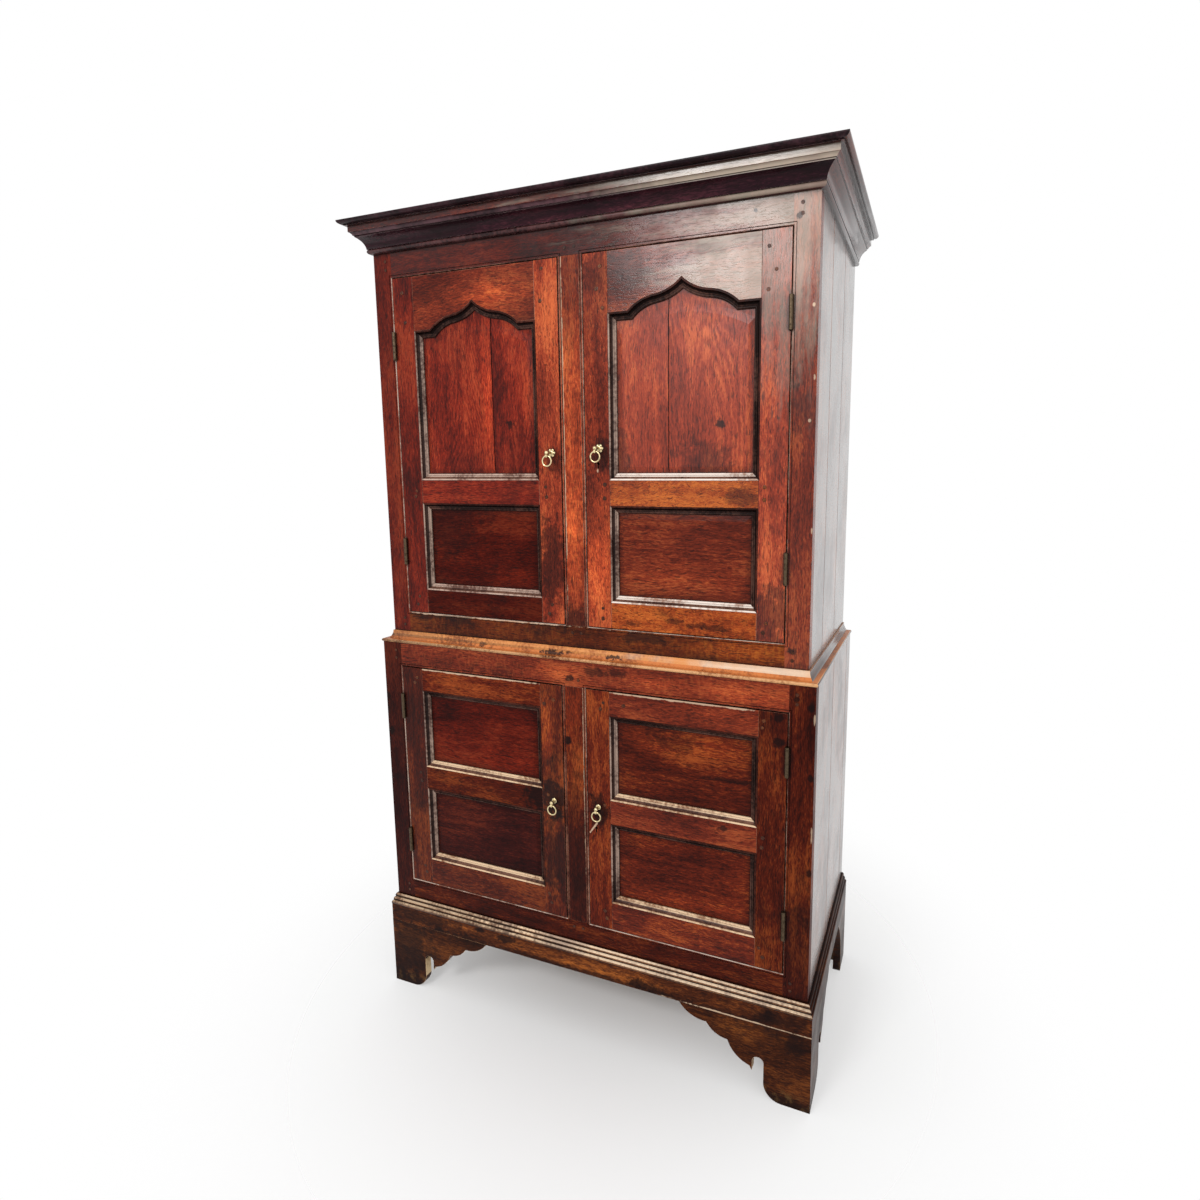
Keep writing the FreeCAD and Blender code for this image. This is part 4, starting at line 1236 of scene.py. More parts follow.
@dataclass(frozen=True)
class BoardRow:
    """Plain sawn boards of one solid, of equal width, that lie side by side along one axis."""

    node: str
    count: int
    along: Grain
    grain: Grain
    seed: float
    lift: float = 1.0

    LIFTS: ClassVar[tuple[float, ...]] = (1.0, 0.82, 1.1, 0.92, 0.76, 1.04)
    SEED_STEP: ClassVar[float] = 1.7

    def boards(self) -> tuple[Oak, ...]:
        """Give each board its own shade and grain.

        Returns:
            One oak for each board.
        """
        first = int(self.seed)
        return tuple(Oak(f"{self.node}_{i}", Tone.DRY, self.grain, seed=self.seed + self.SEED_STEP * i,
                         lift=self.lift * self.LIFTS[(first + i) % len(self.LIFTS)],
                         stain=0.35, grime_and_shade=0.5, roughness=0.7)
                     for i in range(self.count))

    def dressing(self) -> Dressing:
        """Set out the dressing of the boards.

        Returns:
            The dressing.
        """
        low, high = (corner[self.along.value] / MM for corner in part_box(self.node))

        def by_place(centre: Vector, normal: Vector) -> int:
            """Choose the board by its place along the row.

            Args:
                centre: Middle of the face.
                normal: Normal of the face.

            Returns:
                Number of the board.
            """
            share = (centre[self.along.value] - low) / (high - low)
            return min(int(share * self.count), self.count - 1)

        boards = self.boards()
        return Dressing(self.node, boards, by_place, boards[0])


@dataclass
class CaseBoards:
    """Sides of the two cases and the boards inside them."""

    upper_joints: tuple[float, float] = (-66.0, 107.0)
    lower_joints: tuple[float, float] = (-13.0, 209.0)

    LIFTS: ClassVar[tuple[float, ...]] = (0.85, 1.0, 0.75)
    SEED_STEP: ClassVar[float] = 3.1
    COATS: ClassVar[dict[Case, float]] = {Case.UPPER: 0.78, Case.LOWER: 0.52}
    INWARD: ClassVar[float] = 0.7
    ROWS: ClassVar[tuple[BoardRow, ...]] = (
        BoardRow("upper_back_boards", 6, Grain.ACROSS, Grain.UP, 24.0, 0.9),
        BoardRow("lower_back_boards", 6, Grain.ACROSS, Grain.UP, 38.0, 0.8),
        BoardRow("upper_top_boards", 3, Grain.DEEP, Grain.ACROSS, 51.0, 0.8),
        BoardRow("upper_floor_boards", 3, Grain.DEEP, Grain.ACROSS, 57.0),
        BoardRow("lower_floor_boards", 3, Grain.DEEP, Grain.ACROSS, 64.0, 0.9),
        BoardRow("lower_top_boards", 3, Grain.DEEP, Grain.ACROSS, 70.0),
        BoardRow("shelves", 2, Grain.DEEP, Grain.ACROSS, 77.0),
        BoardRow("shelf_bearers", 1, Grain.DEEP, Grain.DEEP, 83.0, 0.8),
        BoardRow("foot_blocks", 1, Grain.DEEP, Grain.UP, 86.0, 0.7),
    )

    def side_boards(self, case: Case, side: Side) -> tuple[Oak, ...]:
        """Give the polished boards of one side, from the front to the back.

        Args:
            case: Case that it belongs to.
            side: Side of the cupboard.

        Returns:
            One oak for each board.
        """
        name = f"{case.value}_{side.value}_side"
        first = len(case.value + side.value)
        return tuple(Oak(f"{name}_{i}", Tone.UMBER, Grain.UP, lift=lift, seed=self.SEED_STEP * i + first,
                         stain=0.25, shine=0.5, coat=self.COATS[case], roughness=0.3)
                     for i, lift in enumerate(self.LIFTS))

    def dressings(self) -> list[Dressing]:
        """List the dressings of the boards.

        Returns:
            One dressing for each solid.
        """
        listed = []
        for case, joints in ((Case.UPPER, self.upper_joints), (Case.LOWER, self.lower_joints)):
            def by_joint(centre: Vector, normal: Vector, joints: tuple[float, float] = joints) -> int:
                """Choose the unpolished inside, or the board by its place behind the front.

                Args:
                    centre: Middle of the face.
                    normal: Normal of the face.
                    joints: Places of the joints between the boards.

                Returns:
                    Number of the finish.
                """
                if abs(normal.x) > self.INWARD and normal.x * centre.x < 0:
                    return len(self.LIFTS)
                return sum(centre.y > joint for joint in joints)

            for side in Side:
                finishes = (*self.side_boards(case, side), INSIDE_UP)
                listed.append(Dressing(f"{case.value}_{side.value}_side", finishes, by_joint))
        return listed + [row.dressing() for row in self.ROWS]


@dataclass
class Cornice:
    """Cornice along the front and its two returns, with heights in millimetres."""

    bead_top: float = 1873.5
    cove_top: float = 1899.0
    fascia_low: float = 1906.5
    crown: float = 1920.5

    def band(self, centre: Vector, normal: Vector) -> int:
        """Choose the bead, the cove, the step, the fascia or the crown by the height."""
        tops = (self.bead_top, self.cove_top, self.fascia_low, self.crown)
        return sum(centre.z > top for top in tops)

    def dressings(self) -> list[Dressing]:
        """List the dressings of the cornice.

        Returns:
            One dressing for each solid.
        """
        # The bead, the step and the fascia carry painted highlights towards the right.
        bead = WornLine("cornice_bead", shade(84, 50, 50), shade(30, 14, 16), 0.45,
                        marks=(bloom(430, 1869, 320, 40, 0.3),))
        cove = Oak("cornice_cove", Tone.DAMSON, Grain.ACROSS, lift=0.75, stain=0.3, roughness=0.24, seed=1.0,
                   marks=(glow(60, 1876, 150, 6, 0.9),))
        step = WornLine("cornice_step", shade(84, 54, 60), shade(32, 15, 20), 0.5,
                        marks=(bloom(430, 1903, 320, 40, 0.5),))
        fascia = Oak("cornice_fascia", Tone.RUDDY, Grain.ACROSS, lift=0.55, stain=0.5, seed=1.4,
                     shine=0.34, roughness=0.2, marks=(bloom(460, 1913, 360, 60, 0.5),))
        crown = WornLine("cornice_crown", shade(60, 36, 42), shade(24, 12, 16), 0.4, shine=0.1)
        # Paler eased edges of the cornice: painted highlight lines over the wear.
        edge = WornLine("cornice_edge_highlight", shade(214, 190, 184), shade(104, 70, 70), 0.6)
        returns = Oak("cornice_return", Tone.PLUM, Grain.DEEP, lift=0.8, stain=0.4, shine=0.5, coat=0.7)
        return [
            Dressing("cornice_front", (bead, cove, step, fascia, crown), self.band, edge, 1.8),
            Dressing("cornice_returns", (returns,)),
        ]


@dataclass
class Waist:
    """Moulding that stands on the lower case round the foot of the upper one."""

    nose_top: float = 941.5
    cove_middle: float = 949.0

    SIDEWAYS: ClassVar[float] = 0.6

    def member(self, centre: Vector, normal: Vector) -> int:
        """Choose the side run, and on the front the nose, the low part of the cove or its high part.

        Args:
            centre: Middle of the face.
            normal: Normal of the face.

        Returns:
            Number of the finish.
        """
        if abs(normal.x) > self.SIDEWAYS:
            return 3
        return sum(centre.z > height for height in (self.nose_top, self.cove_middle))

    def dressings(self) -> list[Dressing]:
        """List the dressing of the waist.

        Returns:
            One dressing.
        """
        # Small dark knots, and the front darker towards the left end.
        dark_patches = (dark(-60, 946, 22, 5), dark(95, 948, 14, 4), dark(-250, 948, 12, 4, 0.6),
                 dark(-20, 950, 10, 2, 0.6), dark(-520, 946, 200, 40, 0.3))
        # The paler nose and high part of the cove carry painted highlight bands as well as wear, and the high
        # cove a painted highlight towards its right end.
        nose = WornLine("waist_nose", shade(218, 164, 114), shade(140, 80, 42), 0.6, marks=dark_patches)
        low = WornLine("waist_cove_low", shade(208, 124, 66), shade(142, 76, 38), 0.6, marks=dark_patches)
        high = WornLine("waist_cove_high", shade(216, 144, 82), shade(156, 86, 42), 0.6, shine=0.3,
                        marks=(*dark_patches, bloom(500, 955, 300, 40, 0.7)))
        side = Oak("waist_side", Tone.UMBER, Grain.DEEP, stain=0.5, shine=0.5, coat=0.8)
        return [Dressing("waist_moulding", (nose, low, high, side), self.member)]


@dataclass
class PlinthAndFeet:
    """Reeded plinth and the scalloped bracket feet under it."""

    reed_start: float = 220.9
    reed_end: float = 247.5
    front_thickness: float = 21.0
    side_x: float = 548.0
    notch_inner: float = 425.0
    notch_outer: float = 460.0
    notch_heights: tuple[float, float] = (38.0, 84.5)
    scuff: float = 45.0

    LEVEL: ClassVar[float] = 0.95
    CREST: ClassVar[float] = 0.3
    UNDER: ClassVar[float] = -0.1
    NOTCH_SIDE: ClassVar[float] = 0.5

    def plinth_finish(self, centre: Vector, normal: Vector) -> int:
        """Choose the side run, and on the front the lit crests, shaded faces and shaded quirks of the reeds
        by slope, as painted light.

        Args:
            centre: Middle of the face.
            normal: Normal of the face.

        Returns:
            Number of the finish.
        """
        if centre.y > PLINTH_FRONT + self.front_thickness:
            return 1
        if not self.reed_start < centre.z < self.reed_end:
            return 0
        if normal.z > self.LEVEL or normal.z < self.UNDER:
            return 4
        return 2 if normal.z > self.CREST else 3

    def foot_finish(self, centre: Vector, normal: Vector) -> int:
        """Choose the run by its place, and the broken wood in the notches.

        Args:
            centre: Middle of the face.
            normal: Normal of the face.

        Returns:
            Number of the finish.
        """
        behind = centre.y > PLINTH_FRONT + self.front_thickness
        if abs(centre.x) > self.side_x and behind:
            return 1
        low, high = self.notch_heights
        notched = self.notch_inner < abs(centre.x) < self.notch_outer and low < centre.z < high
        return 2 if notched and normal.x > self.NOTCH_SIDE else 0

    def dressings(self) -> list[Dressing]:
        """List the dressings of the plinth and the feet.

        Returns:
            One dressing for each solid.
        """
        base = Oak("plinth_oak", Tone.UMBER, Grain.ACROSS, lift=0.95, stain=0.95, seed=4.0, shine=0.05,
                   marks=(glow(20, 200, 170, 14, 0.8), glow(-330, 208, 120, 10, 0.6), dark(-199, 209, 30, 9),
                          dark(-280, 214, 16, 5), dark(174, 190, 45, 12), dark(-470, 205, 110, 20, 0.6),
                          dark(500, 200, 60, 16, 0.6), dark(0, 180, 400, 7, 0.7),
                          chip(430, 178.3, 130, 1.5, 0.8)))
        base_side = Oak("plinth_side_oak", Tone.UMBER, Grain.DEEP, lift=0.5, stain=0.8, seed=4.0, shine=0.05)
        # The crests of the reeds are lit copies, and their faces and quirks shaded copies: painted light over
        # the wear. The crests also carry a painted highlight towards the right, and are darker towards the
        # left.
        crest = WornLine("reed_crest_lit", shade(230, 198, 162), shade(120, 76, 48), 0.55, grime_and_shade=0.3,
                         marks=(bloom(260, 234, 420, 40, 0.35), dark(-420, 234, 220, 40, 0.35)))
        face = WornLine("reed_face_shaded", shade(128, 84, 54), shade(58, 33, 20), 0.5, grime_and_shade=0.5)
        quirk = WornLine("reed_quirk_shaded", shade(52, 31, 21), shade(24, 13, 9), 0.4)
        foot = Oak("foot_oak", Tone.UMBER, Grain.ACROSS, lift=0.6, stain=0.9, seed=5.0, scuff=self.scuff,
                   shine=0.05,
                   marks=(dark(-500, 110, 60, 90, 0.65), glow(430, 150, 60, 22, 0.7),
                          dark(520, 150, 26, 22, 0.7)))
        foot_side = Oak("foot_side_oak", Tone.UMBER, Grain.DEEP, lift=0.4, stain=0.9, seed=5.0,
                        scuff=self.scuff)
        broken = WornLine("broken_wood", shade(214, 188, 148), shade(140, 98, 60), 0.6, grime_and_shade=0.4, shine=0.05)
        return [
            Dressing("plinth", (base, base_side, crest, face, quirk), self.plinth_finish),
            Dressing("bracket_feet", (foot, foot_side, broken), self.foot_finish, PALE_EDGE),
        ]


@dataclass
class Fittings:
    """Rings, latches, locks, hinges and frame pegs."""

    plate_depth: float = 12.0

    def dressings(self) -> list[Dressing]:
        """List the dressings of the fittings.

        Returns:
            One dressing for each solid.
        """
        listed = [Dressing("frame_hinges", (HINGE,), edge=None), Dressing("frame_pegs", (PEG,), edge=None)]
        for case, front in ((Case.UPPER, UPPER_FRONT), (Case.LOWER, LOWER_FRONT)):
            def latch(centre: Vector, normal: Vector, front: float = front) -> int:
                """Choose brass in front of the door and iron behind it."""
                return 0 if centre.y < front + self.plate_depth else 1

            for side in Side:
                handle = f"{case.value}_{side.value}"
                listed.append(Dressing(f"{handle}_ring", (BRASS,), edge=None))
                listed.append(Dressing(f"{handle}_latch", (BRASS, LOCK_IRON), latch, None))
            for piece in ("case", "bolt"):
                listed.append(Dressing(f"{case.value}_lock_{piece}", (LOCK_IRON,), edge=None))
        return listed


@dataclass
class Studio:
    """Floor, soft light, white ground and camera."""

    camera_place: tuple[float, float, float] = (0.758, -1.559, 1.341)
    camera_turn: float = 21.08
    camera_drop: float = 7.99
    focal_pixels: float = 686.1
    centre_pixels: tuple[float, float] = (677.1, 574.8)
    image_pixels: float = 1200.0
    sensor: float = 36.0
    clip: tuple[float, float] = (0.01, 100.0)
    floor_reach: float = 6.0
    floor_cells: int = 8
    soft_level: float = 0.8
    white_level: float = 1.0
    aim: tuple[float, float, float] = (0.2, -0.2, 1.5)
    key_place: tuple[float, float, float] = (-0.48, -3.03, 2.86)
    key_size: tuple[float, float] = (1.0, 0.75)
    key_power: float = 48.0
    fill_place: tuple[float, float, float] = (2.6, -2.4, 2.0)
    fill_size: tuple[float, float] = (1.8, 1.8)
    fill_power: float = 16.0

    LEVEL_TILT: ClassVar[float] = 90.0

    def build_floor(self, palette: Palette) -> None:
        """Build the floor.

        Args:
            palette: Materials.
        """
        mesh = bmesh.new()
        cells = self.floor_cells
        bmesh.ops.create_grid(mesh, x_segments=cells, y_segments=cells, size=self.floor_reach)
        data = bpy.data.meshes.new("floor")
        mesh.to_mesh(data)
        mesh.free()
        floor = bpy.data.objects.new("floor", data)
        data.materials.append(palette.of(PaleFloor()))
        bpy.context.scene.collection.objects.link(floor)

    def build_world(self) -> None:
        """Light the world softly, and show it white to the camera and in reflections."""
        world = bpy.data.worlds.new("studio")
        bpy.context.scene.world = world
        world.use_nodes = True
        graph = Graph(world.node_tree)
        rays = graph.add("ShaderNodeLightPath").outputs
        seen = graph.math("MAXIMUM", rays["Is Camera Ray"], rays["Is Glossy Ray"])
        seen = graph.math("MAXIMUM", seen, rays["Is Transmission Ray"])
        soft = graph.add("ShaderNodeBackground", {"Color": (1.0, 1.0, 1.0), "Strength": self.soft_level})
        white = graph.add("ShaderNodeBackground", {"Color": (1.0, 1.0, 1.0), "Strength": self.white_level})
        mixed = graph.add("ShaderNodeMixShader", {0: seen, 1: soft.outputs[0], 2: white.outputs[0]})
        graph.add("ShaderNodeOutputWorld", {"Surface": mixed.outputs[0]})

    def build_light(self, name: str, place: tuple[float, float, float], size: tuple[float, float],
                    power: float) -> None:
        """Build one soft lamp that points at the cupboard.

        Args:
            name: Name of the lamp.
            place: Where it stands.
            size: Width and height of its face.
            power: Power in watts.
        """
        data = bpy.data.lights.new(name, "AREA")
        data.shape = "RECTANGLE"
        data.size, data.size_y = size
        data.energy = power
        lamp = bpy.data.objects.new(name, data)
        lamp.location = place
        lamp.rotation_euler = (Vector(self.aim) - Vector(place)).to_track_quat("-Z", "Y").to_euler()
        bpy.context.scene.collection.objects.link(lamp)

    def build_camera(self) -> None:
        """Build the camera at the photograph's place, angle and framing."""
        data = bpy.data.cameras.new("camera")
        data.sensor_width = self.sensor
        data.lens = self.focal_pixels / self.image_pixels * self.sensor
        data.shift_x = (self.image_pixels / 2 - self.centre_pixels[0]) / self.image_pixels
        data.shift_y = (self.centre_pixels[1] - self.image_pixels / 2) / self.image_pixels
        data.clip_start, data.clip_end = self.clip
        camera = bpy.data.objects.new("camera", data)
        camera.location = self.camera_place
        tilt = math.radians(self.LEVEL_TILT - self.camera_drop)
        camera.rotation_euler = (tilt, 0.0, math.radians(self.camera_turn))
        bpy.context.scene.collection.objects.link(camera)
        bpy.context.scene.camera = camera

    def build(self, palette: Palette) -> None:
        """Build the whole studio.

        Args:
            palette: Materials.
        """
        self.build_floor(palette)
        self.build_world()
        self.build_light("key", self.key_place, self.key_size, self.key_power)
        self.build_light("fill", self.fill_place, self.fill_size, self.fill_power)
        self.build_camera()
        bpy.context.scene.view_settings.view_transform = "Standard"
        log.info("built the studio")


def upper_frame() -> FrontFrame:
    """Set out the front frame of the upper case.

    Returns:
        The frame.
    """
    return FrontFrame(
        Case.UPPER,
        left_stile=Oak("upper_left_stile", Tone.RUDDY, Grain.UP, seed=0.4, lift=0.62),
        # The right stile carries a painted highlight near its top.
        right_stile=Oak("upper_right_stile", Tone.RUSSET, Grain.UP, seed=0.9, lift=0.78, shine=0.22,
                        roughness=0.25,
                        marks=(bloom(500, 1830, 90, 220, 0.28), chip(516, 1661, 2.5, 4),
                               chip(521, 1530, 1.5, 4, 0.6), chip(513, 1450, 2, 2.5),
                               chip(523, 1240, 1.5, 5, 0.6), dark(486, 1823, 5, 5), dark(487, 997, 9, 7),
                               dark(500, 1470, 20, 30, 0.35))),
        # The frieze carries a painted highlight towards its right end.
        top_rail=Oak("frieze_oak", Tone.RUDDY, Grain.ACROSS, lift=0.42, seed=1.7, stain=0.3, shine=0.22,
                     roughness=0.22,
                     marks=(bloom(480, 1836, 300, 120, 0.28), dark(402, 1841, 3, 3),
                            dark(224, 1860, 3, 4))),
        # The long thin chip along the top of the bottom rail is a painted highlight line.
        bottom_rail=Oak("upper_bottom_rail_oak", Tone.AMBER, Grain.ACROSS, lift=0.33, seed=2.2, flame=0.4,
                        stain=0.9,
                        marks=(glow(390, 990, 120, 24, 1.0), chip(-255, 1009, 200, 1.6, 0.8),
                               dark(-330, 1000, 40, 14, 0.6), dark(170, 996, 45, 12, 0.7))),
        # The two long thin chips down the muntin are painted highlight lines beside its beads.
        muntin=Oak("upper_muntin_oak", Tone.RUSSET, Grain.UP, lift=0.9, seed=2.8, stain=0.2, flame=0.2,
                   marks=(dark(0, 1790, 60, 110, 0.3), dark(0, 1018, 40, 34, 0.7),
                          glow(6, 1380, 34, 230, 0.85), glow(0, 1140, 36, 110, 0.5),
                          chip(-22, 1500, 1.5, 330, 0.7), chip(23, 1500, 1.2, 330, 0.5))),
    )


def lower_frame() -> FrontFrame:
    """Set out the front frame of the lower case.

    Returns:
        The frame.
    """
    return FrontFrame(
        Case.LOWER,
        left_stile=Oak("lower_left_stile", Tone.PLUM, Grain.UP, lift=0.5, seed=3.3, stain=0.8, shine=0.05,
                       marks=(dark(-538, 790, 6, 9), dark(-535, 700, 6, 9))),
        right_stile=Oak("lower_right_stile", Tone.CHESTNUT, Grain.UP, seed=3.9, lift=0.62, shine=0.05,
                        marks=(dark(538, 892, 6, 10), dark(538, 744, 5, 8), dark(541, 537, 6, 10),
                               dark(507, 906, 6, 6), chip(543, 870, 1.5, 12, 0.5),
                               chip(543, 620, 1.5, 18, 0.5), dark(520, 340, 60, 110, 0.4))),
        top_rail=Oak("lower_top_rail_oak", Tone.RUSSET, Grain.ACROSS, lift=0.8, seed=4.4, stain=0.65,
                     flame=0.3,
                     marks=(glow(400, 905, 110, 18, 0.6), dark(104, 917, 24, 9, 0.65),
                            dark(54, 914, 24, 8, 0.65), dark(-10, 893, 8, 6),
                            glow(200, 905, 70, 16, 0.6), glow(-40, 905, 60, 16, 0.4))),
        bottom_rail=Oak("lower_bottom_rail_oak", Tone.CHESTNUT, Grain.ACROSS, seed=4.9, lift=0.55,
                        shine=0.05),
        # The long thin chip down the muntin is a painted highlight line beside its bead.
        muntin=Oak("lower_muntin_oak", Tone.CHESTNUT, Grain.UP, lift=0.85, seed=5.3, shine=0.06,
                   marks=(dark(-18, 747, 8, 9, 0.95), glow(-4, 850, 30, 90, 0.9),
                          dark(0, 440, 60, 200, 0.5), chip(23, 690, 1.4, 190, 0.6))),
    )


def upper_left_door() -> Door:
    """Set out the upper left door.

    Returns:
        The door.
    """
    return Door(
        Case.UPPER, Side.LEFT, UPPER_FRONT,
        high=PanelOpening(left=-416.0, right=-88.0, bottom=1337.0, top=1682.0),
        low=PanelOpening(left=-416.0, right=-88.0, bottom=1070.0, top=1282.0),
        # The dark mark on the lock stile at the ring's height is the ring's painted shadow.
        lock_stile=Oak("upper_left_lock_stile", Tone.RUSSET, Grain.UP, seed=6.0, curl=0.8, lift=1.3,
                       marks=(dark(-60, 1150, 30, 90, 0.65), dark(-50, 1375, 20, 24, 0.5))),
        hinge_stile=Oak("upper_left_hinge_stile", Tone.RUDDY, Grain.UP, seed=6.4, lift=0.85),
        top_rail=Oak("upper_left_top_rail", Tone.RUSSET, Grain.ACROSS, lift=0.8, seed=6.9, curl=0.7,
                     marks=(glow(-182, 1744, 90, 32, 0.9), glow(-330, 1750, 60, 22, 0.4))),
        mid_rail=Oak("upper_left_mid_rail", Tone.RUDDY, Grain.ACROSS, lift=1.0, seed=7.3),
        bottom_rail=Oak("upper_left_bottom_rail", Tone.RUDDY, Grain.ACROSS, lift=0.3, seed=7.7, shine=0.05),
        high_panel=Oak("upper_left_high_panel", Tone.RUDDY, Grain.UP, seed=8.1, lift=1.12, stain=0.3,
                       figure=0.6, marks=(dark(-210.8, 1520, 1.5, 300, 0.9), glow(-225, 1560, 14, 150, 0.6))),
        low_panel=Oak("upper_left_low_panel", Tone.RUDDY, Grain.ACROSS, lift=0.42, seed=8.6, shine=0.05,
                      marks=(glow(-180, 1120, 70, 40, 0.5), dark(-360, 1230, 80, 60, 0.5))),
        second_board=Oak("upper_left_second_board", Tone.RUDDY, Grain.UP, seed=8.3, stain=0.3, figure=0.6,
                         lift=1.2, marks=(dark(-166, 1464, 8, 9), dark(-150, 1400, 40, 60, 0.3))),
        board_joint=-210.0,
        line=LINE_LIT_SOFT,
        pegs=((-69, 1786), (-74, 1720), (-441, 1703), (-447, 1770), (-433, 1311), (-436, 1298), (-72, 1322),
              (-70, 1300), (-62, 1056), (-70, 1034), (-440, 1052), (-446, 1032)),
    )


def upper_right_door() -> Door:
    """Set out the upper right door.

    Returns:
        The door.
    """
    return Door(
        Case.UPPER, Side.RIGHT, UPPER_FRONT,
        high=PanelOpening(left=88.0, right=416.0, bottom=1337.0, top=1682.0),
        low=PanelOpening(left=88.0, right=416.0, bottom=1070.0, top=1282.0),
        # The dark mark on the lock stile at the ring's height is the ring's painted shadow.
        lock_stile=Oak("upper_right_lock_stile", Tone.RUSSET, Grain.UP, seed=9.0, curl=0.9, lift=1.15,
                       marks=(glow(60, 1170, 36, 130, 0.7), dark(66, 1390, 18, 34, 0.6),
                              chip(59, 1358, 2, 4, 0.7), dark(60, 1700, 40, 90, 0.3))),
        # The hinge stile carries a painted highlight near its top.
        hinge_stile=Oak("upper_right_hinge_stile", Tone.RUSSET, Grain.UP, seed=9.5, lift=1.38, shine=0.24,
                        roughness=0.28,
                        marks=(bloom(445, 1790, 90, 210, 0.16), dark(445, 1060, 40, 60, 0.6))),
        # The top rail carries a painted highlight towards its right end.
        top_rail=Oak("upper_right_top_rail", Tone.RUSSET, Grain.ACROSS, seed=10.1, lift=0.7, shine=0.34,
                     roughness=0.24,
                     marks=(dark(120, 1740, 60, 50, 0.35), bloom(420, 1730, 170, 110, 0.3))),
        mid_rail=Oak("upper_right_mid_rail", Tone.AMBER, Grain.ACROSS, lift=0.85, seed=10.6, curl=1.4,
                     flame=0.3, stain=0.2, shine=0.2, marks=(dark(380, 1305, 30, 16, 0.5),)),
        bottom_rail=Oak("upper_right_bottom_rail", Tone.AMBER, Grain.ACROSS, lift=0.9, seed=11.0, curl=1.2,
                        stain=0.6, flame=0.3,
                        marks=(dark(332, 1030, 28, 5, 0.6), dark(286, 1032, 18, 5, 0.6),
                               dark(240, 1040, 18, 6, 0.6), dark(140, 1026, 12, 5, 0.6))),
        high_panel=Oak("upper_right_high_panel", Tone.RUSSET, Grain.UP, seed=11.7, lift=1.4, stain=0.2,
                       figure=0.6, shine=0.25, roughness=0.38, contrast=0.65,
                       marks=(dark(220.8, 1520, 1.5, 300, 0.9), dark(110, 1380, 20, 60, 0.5))),
        low_panel=Oak("upper_right_low_panel", Tone.RUSSET, Grain.ACROSS, lift=0.7, seed=12.2, figure=0.6,
                      marks=(glow(250, 1130, 120, 24, 0.4),)),
        second_board=Oak("upper_right_second_board", Tone.RUSSET, Grain.UP, seed=12.7, lift=1.4, stain=0.2,
                         figure=1.0, shine=0.25, roughness=0.38, contrast=0.65,
                         marks=(dark(332, 1451, 9, 7, 0.9), dark(300, 1380, 50, 30, 0.5))),
        board_joint=220.0,
        line=LINE_LIT_WHITE,
        pegs=((71, 1776), (62, 1732), (76, 1693), (429, 1775), (444, 1732), (429, 1697), (428, 1324),
              (428, 1299), (76, 1328), (75, 1298), (67, 1056), (67, 1033), (436, 1050), (430, 1030)),
    )


def lower_left_door() -> Door:
    """Set out the lower left door.

    Returns:
        The door.
    """
    return Door(
        Case.LOWER, Side.LEFT, LOWER_FRONT,
        high=PanelOpening(left=-429.0, right=-89.0, bottom=618.0, top=817.0),
        low=PanelOpening(left=-429.0, right=-89.0, bottom=367.0, top=561.0),
        # The dark mark on the lock stile round the ring is hand stain together with the ring's painted
        # shadow.
        lock_stile=Oak("lower_left_lock_stile", Tone.CHESTNUT, Grain.UP, seed=13.0, lift=0.7, stain=0.8,
                       marks=(glow(-76, 750, 18, 90, 0.9), dark(-62, 600, 30, 40),
                              dark(-50, 450, 40, 90, 0.6))),
        hinge_stile=Oak("lower_left_hinge_stile", Tone.CHESTNUT, Grain.UP, seed=13.5, lift=0.6),
        # The long thin chip along the top of the top rail is a painted highlight line.
        top_rail=Oak("lower_left_top_rail", Tone.CHESTNUT, Grain.ACROSS, seed=14.0, lift=0.9, stain=0.3,
                     shine=0.05, marks=(chip(-260, 871.5, 210, 2, 0.8),)),
        mid_rail=Oak("lower_left_mid_rail", Tone.CHESTNUT, Grain.ACROSS, seed=14.4, lift=0.65, shine=0.05,
                     marks=(dark(-101, 592, 34, 30),)),
        bottom_rail=Oak("lower_left_bottom_rail", Tone.CHESTNUT, Grain.ACROSS, lift=0.65, seed=14.9),
        high_panel=Oak("lower_left_high_panel", Tone.RUDDY, Grain.ACROSS, seed=15.3, lift=0.58, shine=0.05,
                       marks=(glow(-190, 660, 90, 36, 0.5),)),
        low_panel=Oak("lower_left_low_panel", Tone.PLUM, Grain.ACROSS, seed=15.8, lift=0.72, shine=0.05),
        line=LINE_LIT_CREAM,
        pegs=((-444, 849), (-452, 836), (-79, 826), (-54, 838), (-448, 600), (-446, 578), (-74, 604),
              (-450, 345), (-446, 328), (-78, 352), (-72, 330)),
    )


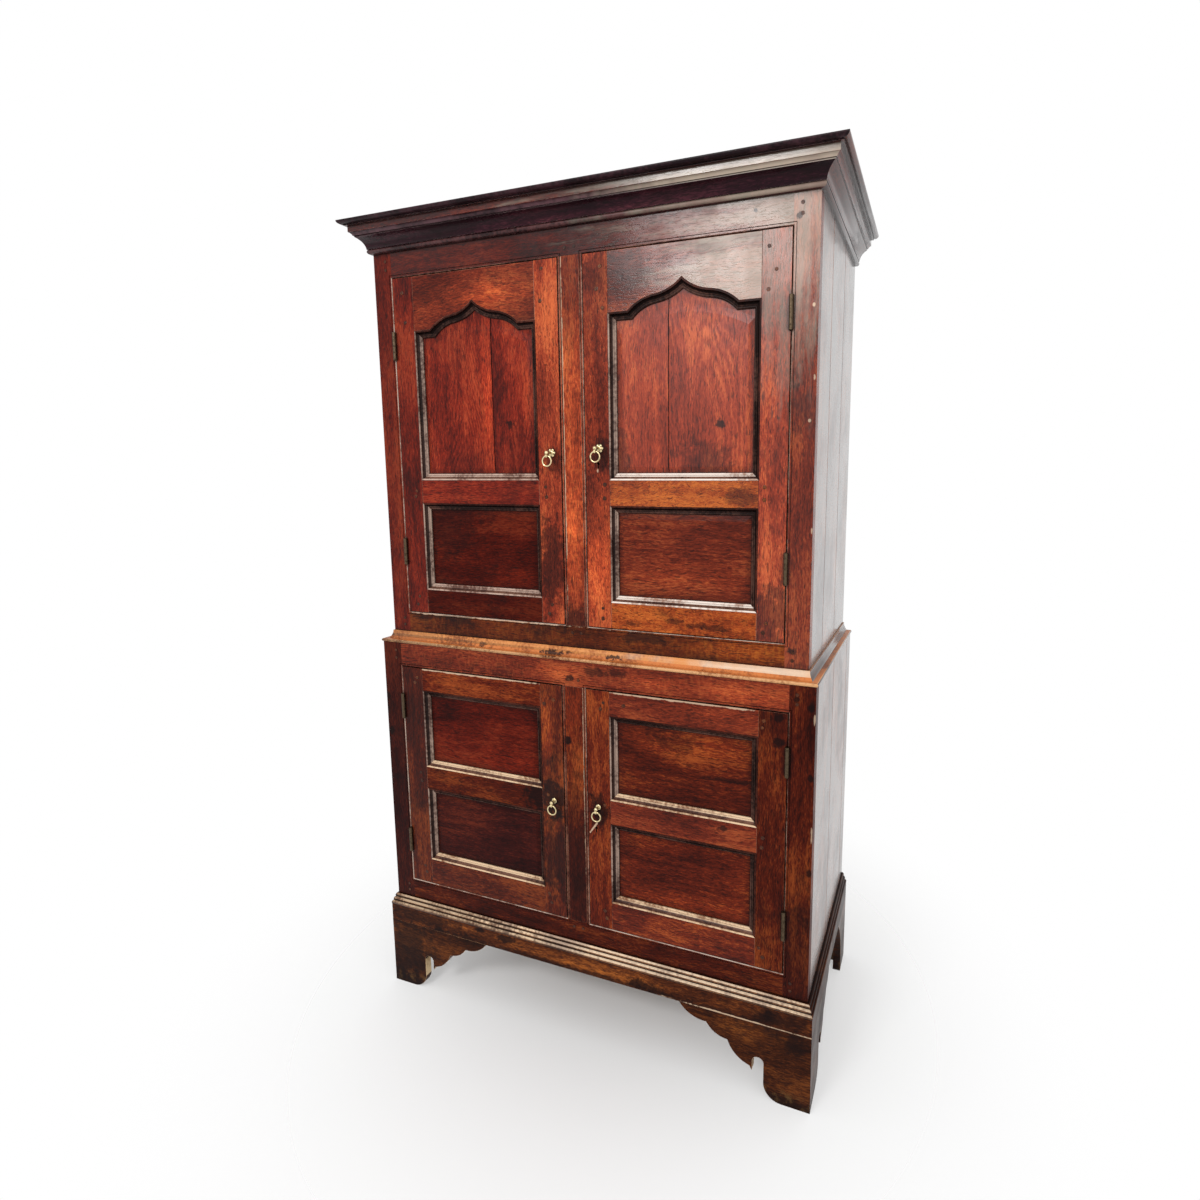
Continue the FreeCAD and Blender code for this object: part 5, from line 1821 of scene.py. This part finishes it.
def lower_right_door() -> Door:
    """Set out the lower right door.

    Returns:
        The door.
    """
    return Door(
        Case.LOWER, Side.RIGHT, LOWER_FRONT,
        high=PanelOpening(left=89.0, right=429.0, bottom=618.0, top=817.0),
        low=PanelOpening(left=89.0, right=429.0, bottom=367.0, top=561.0),
        # The dark mark on the lock stile round the ring is hand stain together with the ring's painted
        # shadow.
        lock_stile=Oak("lower_right_lock_stile", Tone.CHESTNUT, Grain.UP, seed=16.2, stain=0.6, shine=0.06,
                       marks=(dark(60, 590, 24, 30, 0.8), *scratch(36, 532, 2.2, 3.1, 9))),
        hinge_stile=Oak("lower_right_hinge_stile", Tone.CHESTNUT, Grain.UP, seed=16.7, lift=0.66, shine=0.05,
                        marks=(dark(469, 865, 8, 9), dark(472, 812, 9, 10))),
        # The long thin chip along the top of the top rail is a painted highlight line.
        top_rail=Oak("lower_right_top_rail", Tone.RUSSET, Grain.ACROSS, seed=17.1, lift=0.72, stain=0.7,
                     marks=(glow(330, 846, 100, 20, 0.6), chip(260, 871.5, 210, 2, 0.7))),
        mid_rail=Oak("lower_right_mid_rail", Tone.RUSSET, Grain.ACROSS, lift=0.74, seed=17.6, stain=0.8,
                     marks=(dark(353, 603, 9, 7, 0.8),)),
        bottom_rail=Oak("lower_right_bottom_rail", Tone.CHESTNUT, Grain.ACROSS, lift=1.15, seed=18.0),
        high_panel=Oak("lower_right_high_panel", Tone.CHESTNUT, Grain.ACROSS, seed=18.5, lift=0.85, stain=0.9,
                       shine=0.06, marks=(glow(255, 785, 160, 40, 0.55), dark(246, 774, 46, 22, 0.5),
                                          dark(196, 792, 22, 12, 0.4), dark(364, 707, 46, 4, 0.7))),
        low_panel=Oak("lower_right_low_panel", Tone.CHESTNUT, Grain.ACROSS, seed=19.1, lift=1.15, shine=0.06,
                      marks=(glow(250, 400, 140, 26, 0.35),)),
        line=LINE_LIT_CREAM,
        pegs=((67, 831), (124, 845), (74, 846), (437, 837), (440, 852), (442, 598), (440, 576), (74, 604),
              (71, 343), (76, 326), (438, 346), (446, 326)),
    )


def main() -> None:
    """Load the frame, dress every solid, and build the pegs and the studio."""
    logging.basicConfig(level=logging.INFO, format="%(name)s: %(message)s")
    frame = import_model()
    palette = Palette()
    draw = random.Random(PEG_SEED)
    doors = (upper_left_door(), upper_right_door(), lower_left_door(), lower_right_door())
    parts = (upper_frame(), lower_frame(), *doors, CaseBoards(), Cornice(), Waist(), PlinthAndFeet(),
             Fittings())
    for part in parts:
        for dressing in part.dressings():
            dressing.apply(frame["nodes"], palette)
    for door in doors:
        door.build_pegs(palette, draw)
    Studio().build(palette)


if __name__ == "__main__":
    main()
